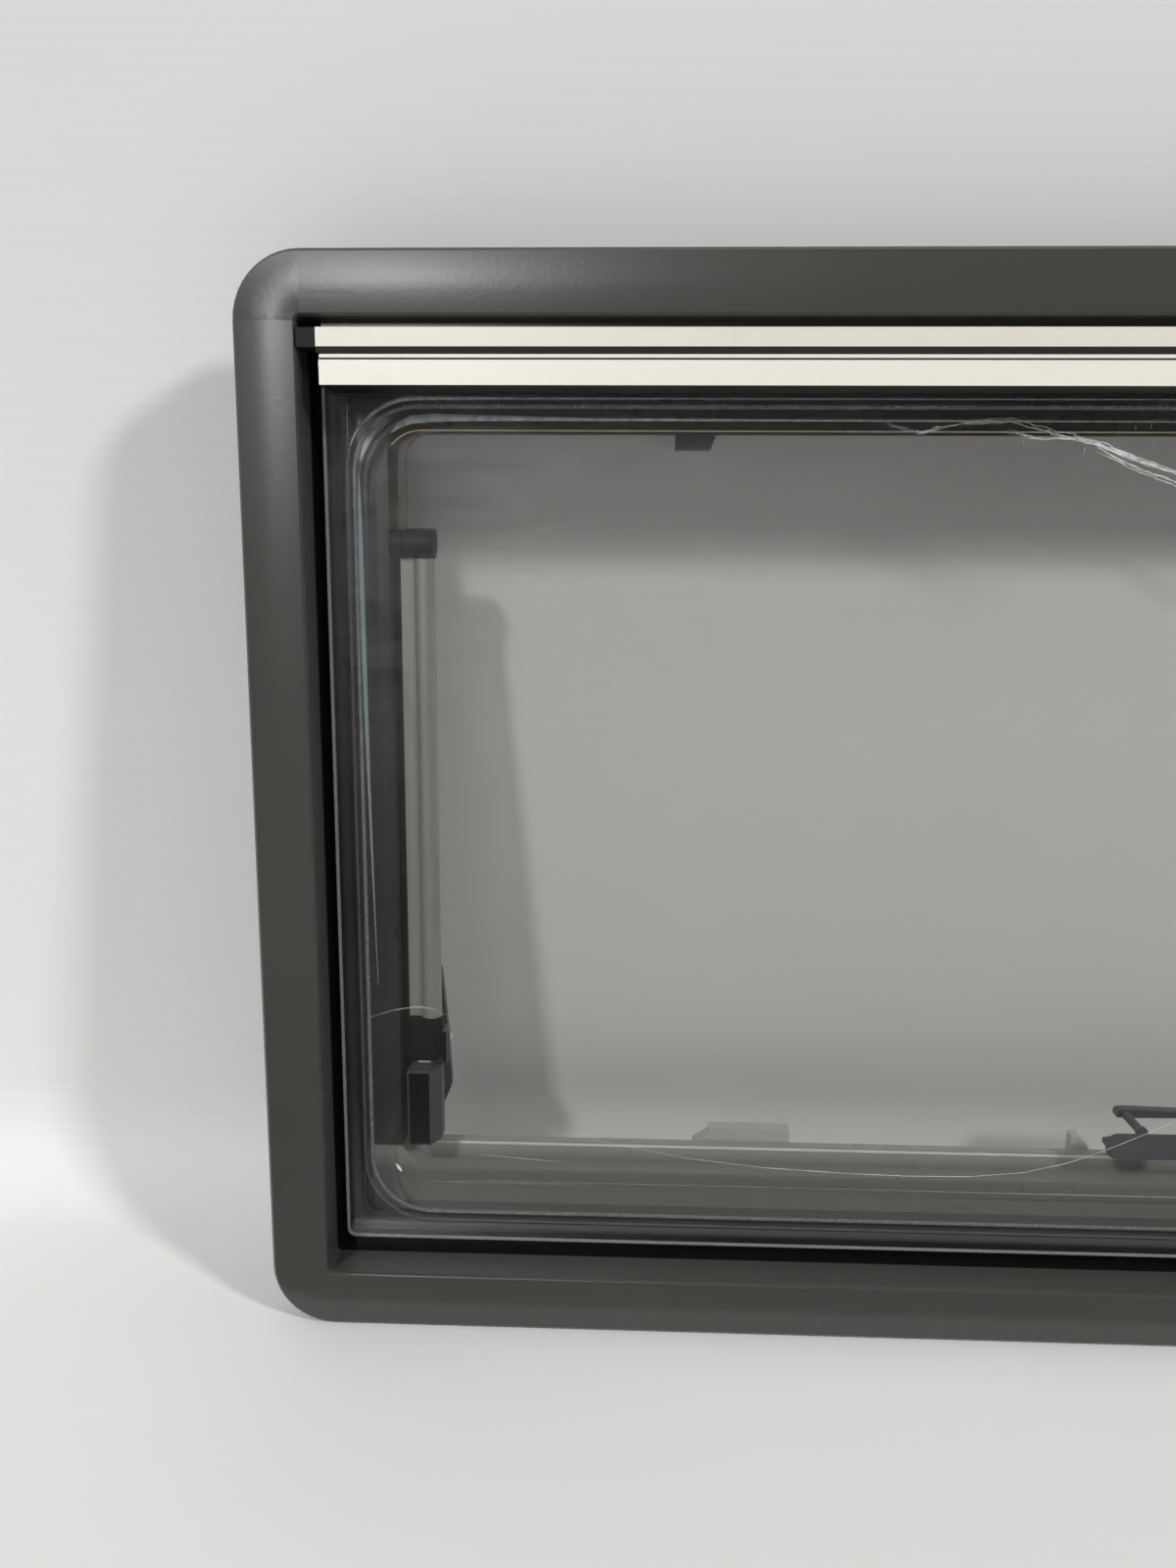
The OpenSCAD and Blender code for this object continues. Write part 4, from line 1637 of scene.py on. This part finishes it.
@dataclass
class Studio:
    """Pale sheet, lamps, surroundings and camera."""

    half_width: float = 1.9
    floor_front: float = -1.7
    floor_seam: float = -0.05
    bend_radius: float = 0.06
    wall_foot: float = 0.125
    wall_lean: float = 0.15
    wall_top: float = 1.5
    camera_place: Colour = (-0.2843, -0.5843, 0.3824)
    yaw_deg: float = -1.982
    pitch_deg: float = 10.096
    roll_deg: float = 0.401
    lens: float = 27.0

    def sheet(self, plan: Plan) -> None:
        """Floor that bends up into a wall.

        Args:
            plan: the frame's plan.
        """
        floor = plan.bottom - 0.0002
        radius, lean = self.bend_radius, math.atan(self.wall_lean)
        bend_end = floor + radius * (1 + math.sin(lean))
        bend_start = self.wall_foot - self.wall_lean * bend_end - radius * math.cos(lean)
        profile = [(self.floor_seam, floor), (bend_start, floor)]
        for step in range(1, 25):
            angle = (math.radians(90) + lean) * step / 24
            profile.append((bend_start + radius * math.sin(angle), floor + radius * (1 - math.cos(angle))))
        profile.append((self.wall_foot - self.wall_lean * self.wall_top, self.wall_top))
        paper = PaleSheet().make()
        self.strip("studio_sheet", profile, paper)
        near = self.strip("studio_floor_front", [(self.floor_front, floor), (self.floor_seam, floor)], paper)
        near.visible_glossy = False

    def strip(self, name: str, profile: Sequence[tuple[float, float]],
              finish: bpy.types.Material) -> bpy.types.Object:
        """Builds a part of the sheet.

        Args:
            name: the part's name.
            profile: its section, as depths and heights.
            finish: its material.

        Returns:
            The part, marked as stage.
        """
        shape = bmesh.new()
        rows = [[shape.verts.new((side * self.half_width, y, z)) for y, z in profile] for side in (-1, 1)]
        for k in range(len(profile) - 1):
            shape.faces.new((rows[0][k], rows[1][k], rows[1][k + 1], rows[0][k + 1]))
        data = bpy.data.meshes.new(name)
        shape.to_mesh(data)
        shape.free()
        data.materials.append(finish)
        smooth(data, 40.0)
        piece = bpy.data.objects.new(name, data)
        bpy.context.scene.collection.objects.link(piece)
        return piece

    @staticmethod
    def lamp(name: str, place: Colour, aim: Colour, size: tuple[float, float],
             power: float) -> bpy.types.Object:
        """Adds a flat soft lamp.

        Args:
            name: the lamp's name.
            place: where it stands.
            aim: the point it faces.
            size: its width and height in metres.
            power: its power in watts.

        Returns:
            The lamp.
        """
        light = bpy.data.lights.new(name, "AREA")
        light.shape = "RECTANGLE"
        light.size, light.size_y = size
        light.energy = power
        lamp = bpy.data.objects.new(name, light)
        lamp.location = place
        lamp.rotation_mode = "QUATERNION"
        lamp.rotation_quaternion = (Vector(aim) - Vector(place)).to_track_quat("-Z", "Y")
        bpy.context.scene.collection.objects.link(lamp)
        return lamp

    def surroundings(self) -> None:
        """Soft light from above, dim from the front, with a pale background for the camera."""
        world = bpy.data.worlds.new("studio_room")
        world.use_nodes = True
        bpy.context.scene.world = world
        recipe = Recipe(world.node_tree, "ShaderNodeOutputWorld")
        way = recipe.value("ShaderNodeTexCoord", "Generated")
        parts = recipe.node("ShaderNodeSeparateXYZ", {}, {"Vector": way})
        rise = Value(recipe, parts.outputs["Z"]).above(0.70, 0.95)
        side = Value(recipe, parts.outputs["X"]).above(0.70, 0.97)
        level = rise * 0.30 + side * 0.10 + 0.035
        path = recipe.node("ShaderNodeLightPath")
        camera = Value(recipe, path.outputs["Is Camera Ray"])
        strength = level * (1.0 - camera) + camera * 0.78
        sky = recipe.tint(side, (1.0, 0.995, 0.985), (0.72, 1.0, 1.08))
        recipe.close(recipe.value("ShaderNodeBackground", 0, {}, {
            "Color": recipe.tint(camera, sky, (1.0, 0.995, 0.985)), "Strength": strength}))

    def camera(self) -> None:
        """Camera at the photo's place and angle."""
        yaw, pitch, roll = (math.radians(a) for a in (self.yaw_deg, self.pitch_deg, self.roll_deg))
        ahead = Vector((math.sin(yaw) * math.cos(pitch), math.cos(yaw) * math.cos(pitch), -math.sin(pitch)))
        level = Vector((math.cos(yaw), -math.sin(yaw), 0.0))
        top = level.cross(ahead)
        right = level * math.cos(roll) + top * math.sin(roll)
        over = top * math.cos(roll) - level * math.sin(roll)
        data = bpy.data.cameras.new("photo_camera")
        data.lens = self.lens
        data.sensor_width = 36.0
        data.clip_start, data.clip_end = 0.01, 50.0
        camera = bpy.data.objects.new("photo_camera", data)
        turn = Matrix((right, over, -ahead)).transposed().to_4x4()
        camera.matrix_world = Matrix.Translation(self.camera_place) @ turn
        bpy.context.scene.collection.objects.link(camera)
        bpy.context.scene.camera = camera

    def build(self, plan: Plan) -> None:
        """Sets up the whole studio.

        Args:
            plan: the frame's plan.
        """
        self.sheet(plan)
        self.surroundings()
        aim = (-0.40, 0.0, 0.30)
        self.lamp("side_lamp", (3.01, -2.84, 2.60), aim, (0.50, 0.50), 124.0).visible_glossy = False
        self.lamp("key_lamp", (-2.44, -3.39, 3.35), aim, (0.40, 0.40), 116.0)
        self.lamp("soft_lamp", (-1.20, -4.30, 2.66), aim, (1.40, 2.20), 14.0)
        self.lamp("gloss_lamp", (-1.45, -5.0, 1.85), aim, (0.30, 1.20), 62.0).visible_diffuse = False
        self.camera()
        bpy.context.scene.view_settings.view_transform = "Standard"


def main() -> None:
    """Builds the window's looks piece by piece, then the studio."""
    logging.basicConfig(level=logging.INFO, format="%(name)s: %(message)s")
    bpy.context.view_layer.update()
    plan, packed, finishes = Plan.from_frame(), Packed(), Finishes()
    Casing().dress(plan, packed, finishes)
    Glazing().dress(plan, packed, finishes)
    for side in Side:
        Stay(side).dress(plan, packed, finishes)
        LOG.info("stay %s done", side.word)
    side_margin, side_rise, centre_rise = 77.0, 103.0, 92.0
    for latch in (Latch("left", side_margin, side_rise),
                  Latch("right", plan.width - side_margin, side_rise, mirrored=True),
                  Latch("centre", plan.width / 2, centre_rise, lying=True, mirrored=True, wide_left=9.2,
                        wide_right=5.6, half_length=24.6, end_radius=6.4, lever_share=0.40, tail=-3.6,
                        pin_radius=2.4, boss_radius=3.2)):
        latch.dress(plan, packed, finishes)
    Studio().build(plan)


if __name__ == "__main__":
    main()
